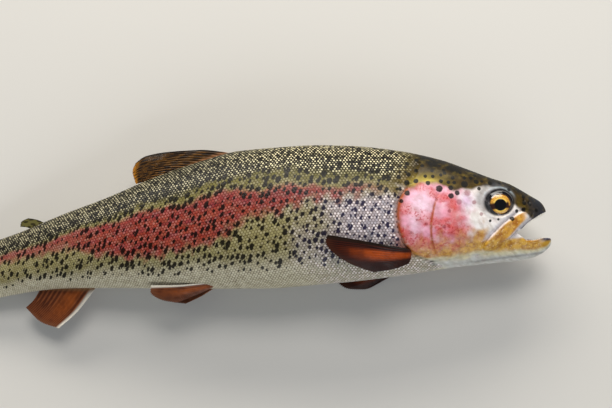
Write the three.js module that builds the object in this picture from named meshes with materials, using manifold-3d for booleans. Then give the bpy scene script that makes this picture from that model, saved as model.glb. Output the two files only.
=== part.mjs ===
// A life-size adult rainbow trout, lying on its left side with its mouth a little open.
// Millimetres. +X runs towards the snout, +Y towards the back fin, +Z is up through the right flank.
// The body is one loft of oval sections along the fish. It is parted by thin cuts into head, jaws,
// gill covers, trunk and tail stalk. The fins are thin blades that stop just clear of the body.
import * as THREE from 'three';
import { mergeVertices } from 'three/addons/utils/BufferGeometryUtils.js';
import Module from 'manifold-3d';

const wasm = await Module();
wasm.setup();

// Driving dimensions. "Station" is the distance back from the snout along the fish.
const chinStation = -2.3; // the lower jaw reaches this far ahead of the snout
const bodyLength = 392; // snout to the root of the tail fin
const totalLength = 460; // snout to the tip of the tail fin
const floorDrop = 25; // the resting surface, below the fish's middle plane
const tailSag = 17; // how far the tail stalk's end drops from the middle plane
const sagStation = 150; // the body starts to sag here
const gap = 0.3; // clearance between neighbouring pieces
const sectionSides = 24;
const finThickness = 1.0;
const finSetIn = 1.4; // how deep the root of a paired fin is set into the skin

// Where the whole fish sits: the middle of its box, above the resting surface.
const origin = { x: 228.55, y: 7.5, z: floorDrop };

// Outlines of the side view and half widths of the top view, as [station, value] pairs.
const backLine = smoothLine([
  [chinStation, -16], [-0.5, -9.4], [0.6, -6.4], [2.4, -4], [8, 0.2], [14, 4.6], [20, 8.6], [31, 13.4],
  [43, 19.4], [61, 28], [85, 35.8], [116, 42.3], [148, 45.6], [186, 46.4], [213, 42.3], [240, 36.2],
  [280, 24.6], [308, 17.6], [344, 7.6], [370, 2.6], [bodyLength, 1.2],
]);
const bellyLine = smoothLine([
  [chinStation, -28.8], [-1.6, -31], [-0.3, -32.6], [2.4, -34.8], [5.6, -36.6], [9, -37.9], [14, -38.8],
  [24, -39.3], [42, -39.5], [61, -40], [92, -42], [130, -43], [165, -43], [195, -41], [240, -37.2],
  [285, -33], [320, -30.8], [350, -32.4], [372, -35.6], [bodyLength, -40.8],
]);
const halfWidth = smoothLine([
  [chinStation, 0.8], [-1, 3.4], [1, 5.2], [4, 7.2], [10, 10], [20, 13.6], [30, 16.4], [45, 19.8], [60, 22],
  [80, 24], [95, 24.8], [130, 26.3], [165, 26.8], [195, 26.2], [240, 23], [285, 18.4], [320, 14.4],
  [350, 10.8], [372, 8.2], [bodyLength, 5.6],
]);
const widestLevel = smoothLine([
  [chinStation, -21], [10, -16], [30, -10], [60, -9], [95, -4], [160, 0], [240, -3], [320, -10],
  [bodyLength, -20],
]);
const backFullness = smoothLine([[chinStation, 2.2], [30, 2.5], [70, 2.2], [120, 2], [bodyLength, 2]]);
const bellyFullness = smoothLine([
  [chinStation, 2.2], [25, 1.9], [60, 1.8], [110, 2.1], [200, 2.2], [bodyLength, 2],
]);

// A smooth curve through [place, value] pairs, which never swings past them.
function smoothLine(pairs) {
  const slopes = pairs.slice(1).map(([x, y], i) => (y - pairs[i][1]) / (x - pairs[i][0]));
  const tangents = pairs.map((_, i) => {
    const before = slopes[Math.max(i - 1, 0)];
    const after = slopes[Math.min(i, slopes.length - 1)];
    return before * after <= 0 ? 0 : (2 * before * after) / (before + after);
  });
  return (x) => {
    const last = pairs.length - 2;
    const i = Math.max(0, Math.min(last, pairs.findIndex(([place]) => place > x) - 1));
    const span = x > pairs[last][0] ? last : i;
    const [x0, y0] = pairs[span];
    const [x1, y1] = pairs[span + 1];
    const width = x1 - x0;
    const t = THREE.MathUtils.clamp((x - x0) / width, 0, 1);
    const rise = width * tangents[span] * t * (1 - t) ** 2 - width * tangents[span + 1] * t * t * (1 - t);
    return THREE.MathUtils.lerp(y0, y1, t * t * (3 - 2 * t)) + rise;
  };
}

// Height of the fish's middle plane, which sags towards the tail.
function middlePlane(station) {
  const t = Math.max(0, (station - sagStation) / (bodyLength - sagStation));
  return -tailSag * t ** 1.6;
}

// A point of the body's oval section, swollen outwards by proud; the left flank is pressed flat.
function bodyPoint(station, angle, reach, proud) {
  const level = widestLevel(station);
  const up = Math.cos(angle);
  const across = Math.sin(angle);
  const rise = up > 0 ? backLine(station) - level + proud : level - bellyLine(station) + proud;
  const power = 2 / (up > 0 ? backFullness(station) : bellyFullness(station));
  const y = level + reach * Math.sign(up) * rise * Math.abs(up) ** power;
  const z = reach * Math.sign(across) * (halfWidth(station) + proud) * Math.abs(across) ** power;
  return new THREE.Vector3(-station, y, Math.max(middlePlane(station) + z, -floorDrop));
}

// Distance from the middle plane out to the skin, at a station and a level.
function flankReach(station, y) {
  const level = widestLevel(station);
  const rise = y > level ? backLine(station) - level : level - bellyLine(station);
  const fullness = y > level ? backFullness(station) : bellyFullness(station);
  const share = Math.min(1, Math.abs(y - level) / rise);
  return halfWidth(station) * (1 - share ** fullness) ** (1 / fullness);
}

// The stations of the loft's rings: close together at the snout, wider along the body.
function ringStations() {
  const stations = [chinStation, -1.7, -1, -0.2, 0.9, 2.4];
  for (let s = 5; s < 94; s += 5.2) stations.push(s);
  for (let s = 98; s < bodyLength; s += 9.8) stations.push(s);
  return [...stations, bodyLength];
}

function bodyLoft(proud) {
  const stations = ringStations();
  const geometry = new THREE.CylinderGeometry(1, 1, 1, sectionSides, stations.length - 1);
  const place = geometry.getAttribute('position');
  for (let i = 0; i < place.count; i++) {
    const ring = Math.round((place.getY(i) + 0.5) * (stations.length - 1));
    const reach = Math.min(1, Math.hypot(place.getX(i), place.getZ(i)));
    const angle = Math.atan2(place.getZ(i), place.getX(i));
    const point = bodyPoint(stations[ring], angle, reach, proud);
    place.setXYZ(i, point.x, point.y, point.z);
  }
  return solid(geometry);
}

// A closed geometry as a manifold solid with its faces outwards.
function solid(geometry) {
  const bare = new THREE.BufferGeometry();
  bare.setAttribute('position', geometry.getAttribute('position'));
  bare.setIndex(geometry.getIndex());
  const merged = mergeVertices(bare, 1e-3);
  const points = merged.getAttribute('position').array;
  const corners = [];
  const index = merged.getIndex().array;
  for (let i = 0; i < index.length; i += 3) {
    const [a, b, c] = index.slice(i, i + 3);
    if (a !== b && b !== c && c !== a) corners.push(a, b, c);
  }
  if (signedVolume(points, corners) < 0) corners.reverse();
  const mesh = { numProp: 3, vertProperties: new Float32Array(points), triVerts: new Uint32Array(corners) };
  return new wasm.Manifold(new wasm.Mesh(mesh));
}

function signedVolume(points, corners) {
  const [a, b, c] = [new THREE.Vector3(), new THREE.Vector3(), new THREE.Vector3()];
  let volume = 0;
  for (let i = 0; i < corners.length; i += 3) {
    a.fromArray(points, 3 * corners[i]);
    b.fromArray(points, 3 * corners[i + 1]);
    c.fromArray(points, 3 * corners[i + 2]);
    volume += a.dot(b.cross(c)) / 6;
  }
  return volume;
}

// A straight-sided block whose side view is a smooth closed outline of [station, level] points.
function sideBlock(outline, low, high, { grow = 0, smooth = true } = {}) {
  const corners = outline.map(([station, y]) => new THREE.Vector2(-station, y));
  const middle = new THREE.Vector2();
  for (const corner of corners) middle.addScaledVector(corner, 1 / corners.length);
  const points = corners.map((corner) => {
    const away = corner.clone().sub(middle);
    return away.setLength(away.length() + grow).add(middle);
  });
  const shape = new THREE.Shape();
  if (smooth) {
    const knots = points.map((point) => new THREE.Vector3(point.x, point.y, 0));
    const curve = new THREE.CatmullRomCurve3(knots, true, 'centripetal');
    const round = curve.getPoints(points.length * 2).slice(0, -1);
    shape.setFromPoints(round.map((point) => new THREE.Vector2(point.x, point.y)));
  } else {
    shape.setFromPoints(points);
  }
  const settings = { depth: high - low, bevelEnabled: false, curveSegments: 1 };
  const block = new THREE.ExtrudeGeometry(shape, settings);
  block.translate(0, 0, low);
  return solid(block);
}

function ellipsoid(centre, radii, sides = 16, rings = 8) {
  const ball = new THREE.SphereGeometry(1, sides, rings);
  ball.rotateX(Math.PI / 2);
  ball.scale(radii.x, radii.y, radii.z);
  ball.translate(-centre.station, centre.y, centre.z);
  return solid(ball);
}

// A thin blade: centre(across, along) gives the middle of its thickness, both from 0 to 1.
function blade(centre, across, along, { thickness = finThickness, edge = 0.6 } = {}) {
  const geometry = new THREE.BoxGeometry(1, 1, 1, across, along, 1);
  const place = geometry.getAttribute('position');
  const step = 0.01;
  for (let i = 0; i < place.count; i++) {
    const u = place.getX(i) + 0.5;
    const v = place.getY(i) + 0.5;
    const here = centre(u, v);
    const du = centre(Math.min(1, u + step), v).sub(centre(Math.max(0, u - step), v));
    const dv = centre(u, Math.min(1, v + step)).sub(centre(u, Math.max(0, v - step)));
    const normal = du.cross(dv).normalize();
    const half = (thickness / 2) * THREE.MathUtils.lerp(1, edge, v);
    here.addScaledVector(normal, 2 * place.getZ(i) * half);
    place.setXYZ(i, here.x, here.y, Math.max(here.z, -floorDrop));
  }
  return solid(geometry);
}

// A blade in the fish's middle plane, from its root line on the body to its outer edge.
function middleFin(rootLine, outerLine, across, along) {
  const centre = (u, v) => {
    const [rootStation, rootLevel] = rootLine(u);
    const [tipStation, tipLevel] = outerLine(u);
    const station = THREE.MathUtils.lerp(rootStation, tipStation, v);
    const y = THREE.MathUtils.lerp(rootLevel, tipLevel, v);
    return new THREE.Vector3(-station, y, Math.max(middlePlane(station), finThickness / 2 - floorDrop));
  };
  return blade(centre, across, along);
}

// A line through [station, level] or [station, level, reach] points, as a function from 0 to 1.
function lineThrough(points) {
  const knots = points.map(([station, y, z = 0]) => new THREE.Vector3(station, y, z));
  const curve = new THREE.CatmullRomCurve3(knots, false, 'centripetal');
  return (u) => curve.getPoint(u).toArray();
}

// A paired fin that lies back along a flank: side is 1 on the right and -1 on the left. Its root is
// set into the skin, and its edge gives [station, level, height above the middle plane] points.
function pairedFin(side, root, edge, bow) {
  const rootLine = lineThrough(root);
  const edgeLine = lineThrough(edge);
  const centre = (u, v) => {
    const [rootStation, rootLevel] = rootLine(u);
    const rootHeight = middlePlane(rootStation) + side * (flankReach(rootStation, rootLevel) - finSetIn);
    const start = new THREE.Vector3(-rootStation, rootLevel, rootHeight);
    const [tipStation, tipLevel, tipHeight] = edgeLine(u);
    const point = start.lerp(new THREE.Vector3(-tipStation, tipLevel, tipHeight), v);
    point.z += side * bow * Math.sin(Math.PI * v);
    point.z = Math.max(point.z, finThickness / 2 - floorDrop);
    return point;
  };
  return blade(centre, 6, 5);
}

// The mouth: a wedge open at the front, and the hollow between the two sides of the jaws.
const mouthCorner = { station: 20.5, y: -21.9 };
const gape = [
  [-12, -11.4], [-0.6, -11.4], [1.4, -12], [4, -13.2], [7, -14.2], [10, -15.2], [13.4, -17.2], [16.6, -19.8],
  [mouthCorner.station, mouthCorner.y], [17.4, -24.4], [14.4, -27.2], [9, -27.4], [3, -26.5], [-0.6, -27],
  [-12, -27],
];
const palate = { centre: { station: 14, y: -17, z: 0 }, radii: { x: 21, y: 8, z: 9 } };
const jawTrough = { centre: { station: 19, y: -27, z: 0 }, radii: { x: 16, y: 6.5, z: 8.5 } };

// The side-view outlines along which the head comes apart.
const shoulderCut = [
  [-20, 60], [68, 60], [71, 33], [74, 22], [80.6, 12.8], [85.4, 9.2], [88.8, 4.6], [91, -1.4], [91.7, -8],
  [91.2, -15.2], [89.2, -22], [85.4, -27.4], [80, -31.4], [73, -35], [64, -38.4], [56, -44], [54, -60],
  [-20, -60],
];
const gillCoverOutline = [
  [60, 13.4], [70, 14.6], [80.4, 12.6], [85.2, 9], [88.5, 4.6], [90.7, -1.4], [91.4, -8], [90.9, -15],
  [88.9, -21.8], [85.2, -27], [79.8, -31], [72, -33.6], [62, -31], [56, -24], [54, -14], [54.6, -2], [56, 8],
];
const upperJawOutline = [
  [9.6, -11], [13, -9.4], [17.4, -10.1], [23.5, -13.2], [28.6, -16.4], [33.2, -20.2], [37.8, -24.2],
  [40.8, -28.2], [41.2, -30.2], [39.4, -31], [36, -30.6], [31.1, -28.8], [25.9, -25.6], [22.6, -22.8],
  [19.2, -19.6], [16, -16.8], [12.6, -14.6],
];
const lowerJawOutline = [
  [-14, -20], [mouthCorner.station - 0.5, mouthCorner.y - 0.2], [24.4, -25.4], [29.6, -29], [35, -31.6],
  [41, -32.4], [47, -33.2], [50, -35.5], [45, -50], [-14, -50],
];
const eyeBall = { centre: { station: 29.3, y: -3, z: 11.4 }, radii: { x: 9.2, y: 8.2, z: 6 } };
const plateThickness = 2.6;
const upperJawProud = 0.9; // how far the plates stand out of the cheek
const gillCoverProud = 0.5;
const blockReach = 60; // past the skin on either side, for the blocks that cut the head

// Flesh: the whole body with the mouth open and the eye sockets hollowed out.
const gapeBlock = crossBlock(gape, 0);
const wholeBody = bodyLoft(0)
  .subtract(gapeBlock)
  .subtract(ellipsoid(palate.centre, palate.radii, 12, 8))
  .subtract(ellipsoid(jawTrough.centre, jawTrough.radii, 12, 8));
const sockets = [1, -1].map((side) => eye(side, gap));

function eye(side, grow) {
  const { centre, radii } = eyeBall;
  const grown = { x: radii.x + grow, y: radii.y + grow, z: radii.z + grow };
  return ellipsoid({ ...centre, z: side * centre.z }, grown);
}

// A block over one side of the fish only, and one right across it.
function halfBlock(outline, side, grow) {
  return sideBlock(outline, Math.min(0, side * blockReach), Math.max(0, side * blockReach), { grow });
}

function crossBlock(outline, grow) {
  return sideBlock(outline, -blockReach, blockReach, { smooth: false, grow });
}

// A bony plate that lies on one side of the head and stands a little proud of it.
function sidePlate(outline, side, proud) {
  return halfBlock(outline, side, 0).intersect(bodyLoft(proud)).subtract(bodyLoft(-plateThickness));
}

function plateBed(outline, side) {
  return halfBlock(outline, side, gap).subtract(bodyLoft(-plateThickness - gap));
}

function clearOf(piece, others) {
  return others.reduce((left, other) => left.subtract(other), piece);
}

const sides = { right: 1, left: -1 };
const upperJaws = {};
const gillCovers = {};
const beds = [];
for (const [name, side] of Object.entries(sides)) {
  upperJaws[name] = sidePlate(upperJawOutline, side, upperJawProud).subtract(gapeBlock);
  gillCovers[name] = sidePlate(gillCoverOutline, side, gillCoverProud);
  beds.push(plateBed(upperJawOutline, side), plateBed(gillCoverOutline, side));
}

// The trunk and tail stalk part at one station, by blocks that run from above the back to below the belly.
const stalkStation = 300;
const [aboveBack, belowBelly] = [60, -80];
const upright = (from, to) => [[from, aboveBack], [to, aboveBack], [to, belowBelly], [from, belowBelly]];
const headSide = crossBlock(shoulderCut, 0);
const behindHead = crossBlock(shoulderCut, gap);
const jawSide = crossBlock(lowerJawOutline, 0);
const aroundJaw = crossBlock(lowerJawOutline, gap);
const tailSide = crossBlock(upright(stalkStation, 420), 0);
const aheadOfTail = crossBlock(upright(-30, stalkStation - gap), 0);

const flesh = {
  head: clearOf(wholeBody.intersect(headSide), [aroundJaw, ...beds, ...sockets]),
  lower_jaw: clearOf(wholeBody.intersect(jawSide), beds),
  trunk: clearOf(wholeBody.intersect(aheadOfTail), [behindHead, ...beds]),
  tail_stalk: wholeBody.intersect(tailSide),
};

// Fins. The back fin is folded halfway down, and the paired fins lie back along the body.
const bodyClearance = bodyLoft(gap);
const rootDepth = 3;
const pectoralRoot = [[82, -27], [84, -31.4], [86, -35]];
const pelvicRoot = [[202, -35.4], [206, -37], [210, -38]];
const alongBack = (from, to, depth) => (u) => {
  const station = THREE.MathUtils.lerp(from, to, u);
  return [station, (depth > 0 ? backLine(station) : bellyLine(station)) - depth];
};
const dorsalEdge = lineThrough([[257, 45.8], [259.4, 40.4], [257.6, 32.4]]);
const dorsalFront = lineThrough([[190, 44], [212.8, 50], [236, 51], [249, 49.9], [257, 45.8]]);
function dorsalCentre(u, v) {
  const [frontStation, frontLevel] = dorsalFront(v);
  const [rootStation, rootLevel] = alongBack(190, 241, rootDepth)(u);
  const [tipStation, tipLevel] = dorsalEdge(u);
  const bow = (1 - u) ** 2;
  const straightStation = THREE.MathUtils.lerp(rootStation, tipStation, v);
  const straightLevel = THREE.MathUtils.lerp(rootLevel, tipLevel, v);
  const station = THREE.MathUtils.lerp(straightStation, frontStation, bow);
  const y = THREE.MathUtils.lerp(straightLevel, frontLevel, bow);
  return new THREE.Vector3(-station, y, middlePlane(station));
}
const tailRoot = lineThrough([[389, -1.4], [388, -10], [387, -20], [388, -30], [389, -38.4]]);
const tailEdge = lineThrough([
  [447, 10], [452, 3], [450, -9], [446, -23], [451, -37], [457.5, -52], [totalLength - 0.5, -60], [456, -66],
]);
const adiposeEdge = lineThrough([[334, 17.6], [339, 15.6], [340, 12.4]]);
const analEdge = lineThrough([[318, -57], [330, -52], [340, -41.6]]);
const fins = {
  dorsal_fin: blade(dorsalCentre, 9, 5),
  adipose_fin: middleFin(alongBack(321, 331, rootDepth), adiposeEdge, 4, 5),
  anal_fin: middleFin(alongBack(289, 328, -rootDepth), analEdge, 8, 6),
  caudal_fin: middleFin(tailRoot, tailEdge, 16, 4),
  pectoral_fin_right: pairedFin(1, pectoralRoot,
    [[134.6, -12.8, 29], [136, -17, 28.6], [131, -25, 27.5], [121, -32.4, 25.5], [109, -38, 22]], 1.4),
  pectoral_fin_left: pairedFin(-1, pectoralRoot,
    [[134, -40, -24.4], [133, -44, -24.4], [126, -48.6, -24.4], [116, -49.6, -24], [106, -46, -22]], 1),
  pelvic_fin_right: pairedFin(1, pelvicRoot,
    [[249, -34, 10], [250, -38, 9], [244, -43.6, 7], [235, -46.4, 5]], 0.8),
  pelvic_fin_left: pairedFin(-1, pelvicRoot,
    [[248, -38, -22], [249, -42, -21.4], [243, -46.6, -20], [234, -48.4, -17]], 0.8),
};

// Finishes: dark olive back and fins, silver cheeks, rosy gill covers, golden upper jaw.
const finish = {
  skin: { color: 0x7d7b62, roughness: 0.35, metalness: 0.15 },
  gill_cover: { color: 0xc98a95, roughness: 0.3, metalness: 0.2 },
  jaw: { color: 0xc2903f, roughness: 0.35, metalness: 0.15 },
  fin: { color: 0x7a5332, roughness: 0.45, metalness: 0 },
  eye: { color: 0x1c1710, roughness: 0.1, metalness: 0 },
  mouth: { color: 0xc9bfb2, roughness: 0.4, metalness: 0 },
};

const trout = new THREE.Group();
trout.name = 'rainbow_trout';
trout.position.set(origin.x, origin.y, origin.z);

function addPiece(name, piece, finishName) {
  const { vertProperties, triVerts } = piece.getMesh();
  const geometry = new THREE.BufferGeometry();
  geometry.setAttribute('position', new THREE.BufferAttribute(vertProperties, 3));
  geometry.setIndex(new THREE.BufferAttribute(triVerts, 1));
  geometry.computeVertexNormals();
  const mesh = new THREE.Mesh(geometry, new THREE.MeshStandardMaterial(finish[finishName]));
  mesh.name = name;
  trout.add(mesh);
}

for (const [name, piece] of Object.entries(flesh)) addPiece(name, piece, 'skin');
for (const [name, side] of Object.entries(sides)) {
  addPiece(`upper_jaw_${name}`, upperJaws[name], 'jaw');
  addPiece(`gill_cover_${name}`, gillCovers[name], 'gill_cover');
  addPiece(`eye_${name}`, eye(side, 0), 'eye');
}
for (const [name, piece] of Object.entries(fins)) addPiece(name, clearOf(piece, [bodyClearance]), 'fin');
const tongue = ellipsoid({ station: 17, y: -29.4, z: 0 }, { x: 10, y: 3, z: 4.6 }, 12, 8);
addPiece('tongue', tongue, 'mouth');

export default trout;
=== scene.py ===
from math import pi, radians

import bpy
import numpy as np
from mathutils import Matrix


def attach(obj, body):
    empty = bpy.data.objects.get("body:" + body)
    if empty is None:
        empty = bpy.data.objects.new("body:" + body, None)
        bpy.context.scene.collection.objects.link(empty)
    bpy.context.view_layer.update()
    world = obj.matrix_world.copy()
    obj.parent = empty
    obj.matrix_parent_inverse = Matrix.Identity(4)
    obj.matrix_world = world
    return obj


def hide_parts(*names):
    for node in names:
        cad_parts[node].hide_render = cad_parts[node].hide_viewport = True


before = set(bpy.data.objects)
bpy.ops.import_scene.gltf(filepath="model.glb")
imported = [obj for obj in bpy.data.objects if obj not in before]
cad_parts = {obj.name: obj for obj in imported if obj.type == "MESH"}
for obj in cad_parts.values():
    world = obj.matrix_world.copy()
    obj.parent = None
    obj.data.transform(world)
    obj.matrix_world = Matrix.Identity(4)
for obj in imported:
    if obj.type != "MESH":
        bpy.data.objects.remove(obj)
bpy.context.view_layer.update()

import openvdb
from mathutils import Matrix, Vector

bpy.ops.object.select_all(action="DESELECT")

# The camera looks almost straight down on the right flank from just over half a metre. It is
# rolled a little, so that the fish points up to the right. The lens is a 50 mm on a 36 mm sensor.
# Shapes are worked out in millimetres, and MM turns them into metres, as nodes and lamps have them.
MM = 0.001
fish_origin = Vector((228.55, 7.5, 25.0))  # the snout's station on the middle plane, in the row frame
lens_mm, sensor_mm, nearest_seen_mm = 50.0, 36.0, 10.0
camera_yaw, camera_pitch, camera_roll = radians(-4.6), radians(-3.8), radians(5.2)
snout_from_camera = Vector((146.9, 5.7, -527.3))

turn = Matrix.Rotation(camera_roll, 3, "Z") @ Matrix.Rotation(camera_pitch, 3, "X")
turn = turn @ Matrix.Rotation(camera_yaw, 3, "Y")
camera_place = fish_origin - turn.transposed() @ snout_from_camera
bpy.ops.object.camera_add(location=camera_place * MM)
camera = bpy.context.object
camera.name = "camera"
camera.rotation_euler = turn.transposed().to_euler()
camera.data.lens = lens_mm
camera.data.sensor_width = sensor_mm
camera.data.clip_start = nearest_seen_mm * MM
bpy.context.scene.camera = camera


# The skin is one wet hide over head, jaws, gill covers, trunk and tail stalk. Its form is a row
# of ovals along the fish, with places counted back from the snout ("station"), up from the middle
# line ("level") and out from the middle plane ("reach"), as in the solids.
chin_station, tail_root, body_length = -2.3, 392.0, 401.0
floor_drop, tail_sag, sag_station = 25.0, 17.0, 150.0
coat_depth = 0.55


def smooth_line(pairs):
    """A curve through (place, value) pairs that doesn't overshoot between them."""
    places, values = np.array(pairs, float).T
    slopes = np.diff(values) / np.diff(places)
    before = np.r_[slopes[0], slopes]
    after = np.r_[slopes, slopes[-1]]
    same_way = before * after > 0
    tangents = np.where(same_way, 2 * before * after / np.where(same_way, before + after, 1), 0)

    def line(x):
        i = np.clip(np.searchsorted(places, x, side="right") - 1, 0, len(places) - 2)
        width = places[i + 1] - places[i]
        t = np.clip((x - places[i]) / width, 0, 1)
        rise = width * (tangents[i] * t * (1 - t) ** 2 - tangents[i + 1] * t * t * (1 - t))
        return values[i] + (values[i + 1] - values[i]) * t * t * (3 - 2 * t) + rise

    return line


back_line = smooth_line([
    (chin_station, -16), (-0.5, -9.4), (0.6, -6.4), (2.4, -4), (8, 0.2), (14, 4.6), (20, 8.6), (31, 13.4),
    (43, 19.4), (61, 28), (85, 35.8), (116, 42.3), (148, 45.6), (186, 46.4), (213, 42.3), (240, 36.2),
    (280, 24.6), (308, 17.6), (344, 7.6), (370, 2.6), (389, 1.3), (395, -1.4), (399, -8), (body_length, -17)])
belly_line = smooth_line([
    (chin_station, -28.8), (-1.6, -31), (-0.3, -32.6), (2.4, -34.8), (5.6, -36.6), (9, -37.9), (14, -38.8),
    (24, -39.3), (42, -39.5), (61, -40), (92, -42), (130, -43), (165, -43), (195, -41), (240, -37.2),
    (285, -33), (320, -30.8), (350, -32.4), (372, -35.6), (389, -39.8), (395, -38.4), (399, -32),
    (body_length, -23)])
half_width = smooth_line([
    (chin_station, 0.8), (-1, 3.4), (1, 5.2), (4, 7.2), (10, 10), (20, 13.6), (30, 16.4), (45, 19.8),
    (60, 22), (80, 24), (95, 24.8), (130, 26.3), (165, 26.8), (195, 26.2), (240, 23), (285, 18.4),
    (320, 14.4), (350, 10.8), (370, 8.2), (382, 5.6), (tail_root, 2.6), (body_length, 0.7)])
widest_level = smooth_line([
    (chin_station, -21), (10, -16), (30, -10), (60, -9), (95, -4), (160, 0), (240, -3), (320, -10),
    (tail_root, -20), (body_length, -20)])
back_fullness = smooth_line([(chin_station, 2.2), (30, 2.5), (70, 2.2), (120, 2), (body_length, 2)])
belly_fullness = smooth_line([
    (chin_station, 2.2), (25, 1.9), (60, 1.8), (110, 2.1), (200, 2.2), (body_length, 2)])


def middle_plane(station):
    """How far the middle plane has sagged towards the floor, where the tail stalk droops."""
    t = np.maximum(0, (station - sag_station) / (tail_root - sag_station))
    return -tail_sag * t ** 1.6


def half_oval(station, upper):
    """The widest level at a station, with the height and fullness of its upper or lower half."""
    level = widest_level(station)
    height = np.where(upper, back_line(station) - level, level - belly_line(station))
    return level, height, np.where(upper, back_fullness(station), belly_fullness(station))


def body_point(station, angle, proud):
    """A place proud of the hide, at an angle round from the back to the right or, below 0, the left."""
    up, across = np.cos(angle), np.sin(angle)
    level, height, fullness = half_oval(station, up > 0)
    power = 2 / fullness
    y = level + np.sign(up) * (height + proud) * np.abs(up) ** power
    reach = np.sign(across) * (half_width(station) + proud) * np.abs(across) ** power
    return np.stack(np.broadcast_arrays(-station, y, middle_plane(station) + reach), -1)


def body_depth(station, y, reach):
    """How far a point lies outside the plain body form; negative inside."""
    station = np.maximum(station, chin_station + 0.1)
    level, height, fullness = half_oval(station, y > widest_level(station))
    share = (np.abs(y - level) / height) ** fullness + (np.abs(reach) / half_width(station)) ** fullness
    share = np.maximum(share, 1e-4) ** (1 / fullness)
    radius = np.hypot(y - level, reach)
    return radius - radius / share


def ramp(x, low, high):
    """A soft step from 0 at low to 1 at high."""
    t = np.clip((x - low) / (high - low), 0, 1)
    return t * t * (3 - 2 * t)


def rounded(points, closed=True, steps=6):
    """A smooth path through given side-view points."""
    p = np.array(points, float)
    if closed:
        a, b, c, d = (np.roll(p, n, axis=0) for n in (1, 0, -1, -2))
    else:
        p = np.vstack([2 * p[0] - p[1], p, 2 * p[-1] - p[-2]])
        a, b, c, d = p[:-3], p[1:-2], p[2:-1], p[3:]
    t = np.linspace(0, 1, steps, endpoint=False)[:, None, None]
    path = 2 * b + (c - a) * t + (2 * a - 5 * b + 4 * c - d) * t ** 2 + (3 * b - a - 3 * c + d) * t ** 3
    path = (0.5 * path).transpose(1, 0, 2).reshape(-1, 2)
    return path if closed else np.vstack([path, p[-2]])


def path_distance(station, y, path, closed=False):
    """Distance to a side-view path, and, where it is closed, negative inside."""
    ends = np.roll(path, -1, axis=0) if closed else path[1:]
    starts = path if closed else path[:-1]
    station, y = np.broadcast_arrays(station, y)
    nearest = np.full(station.shape, 1e9)
    inside = np.zeros(station.shape, bool)
    for (s0, y0), (s1, y1) in zip(starts, ends):
        ds, dy = s1 - s0, y1 - y0
        t = np.clip(((station - s0) * ds + (y - y0) * dy) / (ds * ds + dy * dy + 1e-9), 0, 1)
        nearest = np.minimum(nearest, np.hypot(station - s0 - t * ds, y - y0 - t * dy))
        if y0 != y1:
            crosses = ((y0 > y) != (y1 > y)) & (station < s0 + (y - y0) * ds / dy)
            inside ^= crosses
    return np.where(inside, -nearest, nearest) if closed else nearest


def ridge(distance, width):
    """A soft bump of 1 where the distance is 0."""
    return np.exp(-(distance / width) ** 2)


def smooth_max(a, b, blend):
    """The larger of two depths, rounded where they meet."""
    h = np.clip(0.5 + 0.5 * (a - b) / blend, 0, 1)
    return b + (a - b) * h + blend * h * (1 - h)


def ball_depth(station, y, reach, centre, radii):
    """Roughly the distance outside an oval ball."""
    q = np.sqrt(((station - centre[0]) / radii[0]) ** 2 + ((y - centre[1]) / radii[1]) ** 2
                + ((np.abs(reach) - centre[2]) / radii[2]) ** 2)
    return (q - 1) * min(radii)


gape = np.array([
    (-12, -11.4), (-0.6, -11.4), (1.4, -12), (4, -13.2), (7, -14.2), (10, -15.2), (13.4, -17.2),
    (16.6, -19.8), (20.5, -21.9), (17.4, -24.4), (14.4, -27.2), (9, -27.4), (3, -26.5), (-0.6, -27),
    (-12, -27)])
gill_edge = rounded([
    (60, 13.4), (70, 14.6), (80.4, 12.6), (85.2, 9), (88.5, 4.6), (90.7, -1.4), (91.4, -8), (90.9, -15),
    (88.9, -21.8), (85.2, -27), (79.8, -31), (72, -33.6), (62, -31), (56, -24), (54, -14), (54.6, -2),
    (56, 8)])
upper_jaw_plate = rounded([
    (9.6, -11), (13, -9.4), (17.4, -10.1), (23.5, -13.2), (28.6, -16.4), (33.2, -20.2), (37.8, -24.2),
    (40.8, -28.2), (41.2, -30.2), (39.4, -31), (36, -30.6), (31.1, -28.8), (25.9, -25.6), (22.6, -22.8),
    (19.2, -19.6), (16, -16.8), (12.6, -14.6)])
shoulder = rounded([
    (71, 40), (71.5, 33), (74, 22), (80.6, 12.8), (85.4, 9.2), (88.8, 4.6), (91, -1.4), (91.7, -8),
    (91.2, -15.2), (89.2, -22), (85.4, -27.4), (80, -31.4), (73, -35), (64, -38.4), (56, -44)], closed=False)
cheek_line = rounded([(63.2, 7.4), (67.3, 1.8), (69.8, -5.2), (71.7, -12.8), (72, -21.8), (70.9, -27.9),
                      (69.5, -31.7)], closed=False)
cheek_front = rounded([(54.4, 2.6), (54.6, -5.3), (53.6, -12.6), (53, -18.7), (56, -26)], closed=False)
jaw_hinge = rounded([
    (20.5, -22), (27.6, -28.6), (35, -32.2), (44, -33), (52, -33.4), (62, -34.6)], closed=False)
behind_head = np.vstack([shoulder, [(600, -80), (600, 80), (71, 60)]])
eye_centre, eye_radii = (29.3, -3.0, 11.4), (9.2, 8.2, 6.0)
nostrils = [(10.6, -4.4, 1.0), (13.6, -3.0, 0.8)]
palate = ((14, -17, 0), (22, 8, 9))
tongue_trough = ((19, -27, 0), (17, 6.5, 8.5))
throat_hollow = ((36, -24, 0), (14, 7, 7))


def eye_share(station, y):
    """Distance from the eye's centre as a share of the orbit's radius."""
    return np.hypot((station - eye_centre[0]) / eye_radii[0], (y - eye_centre[1]) / eye_radii[1])


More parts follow.
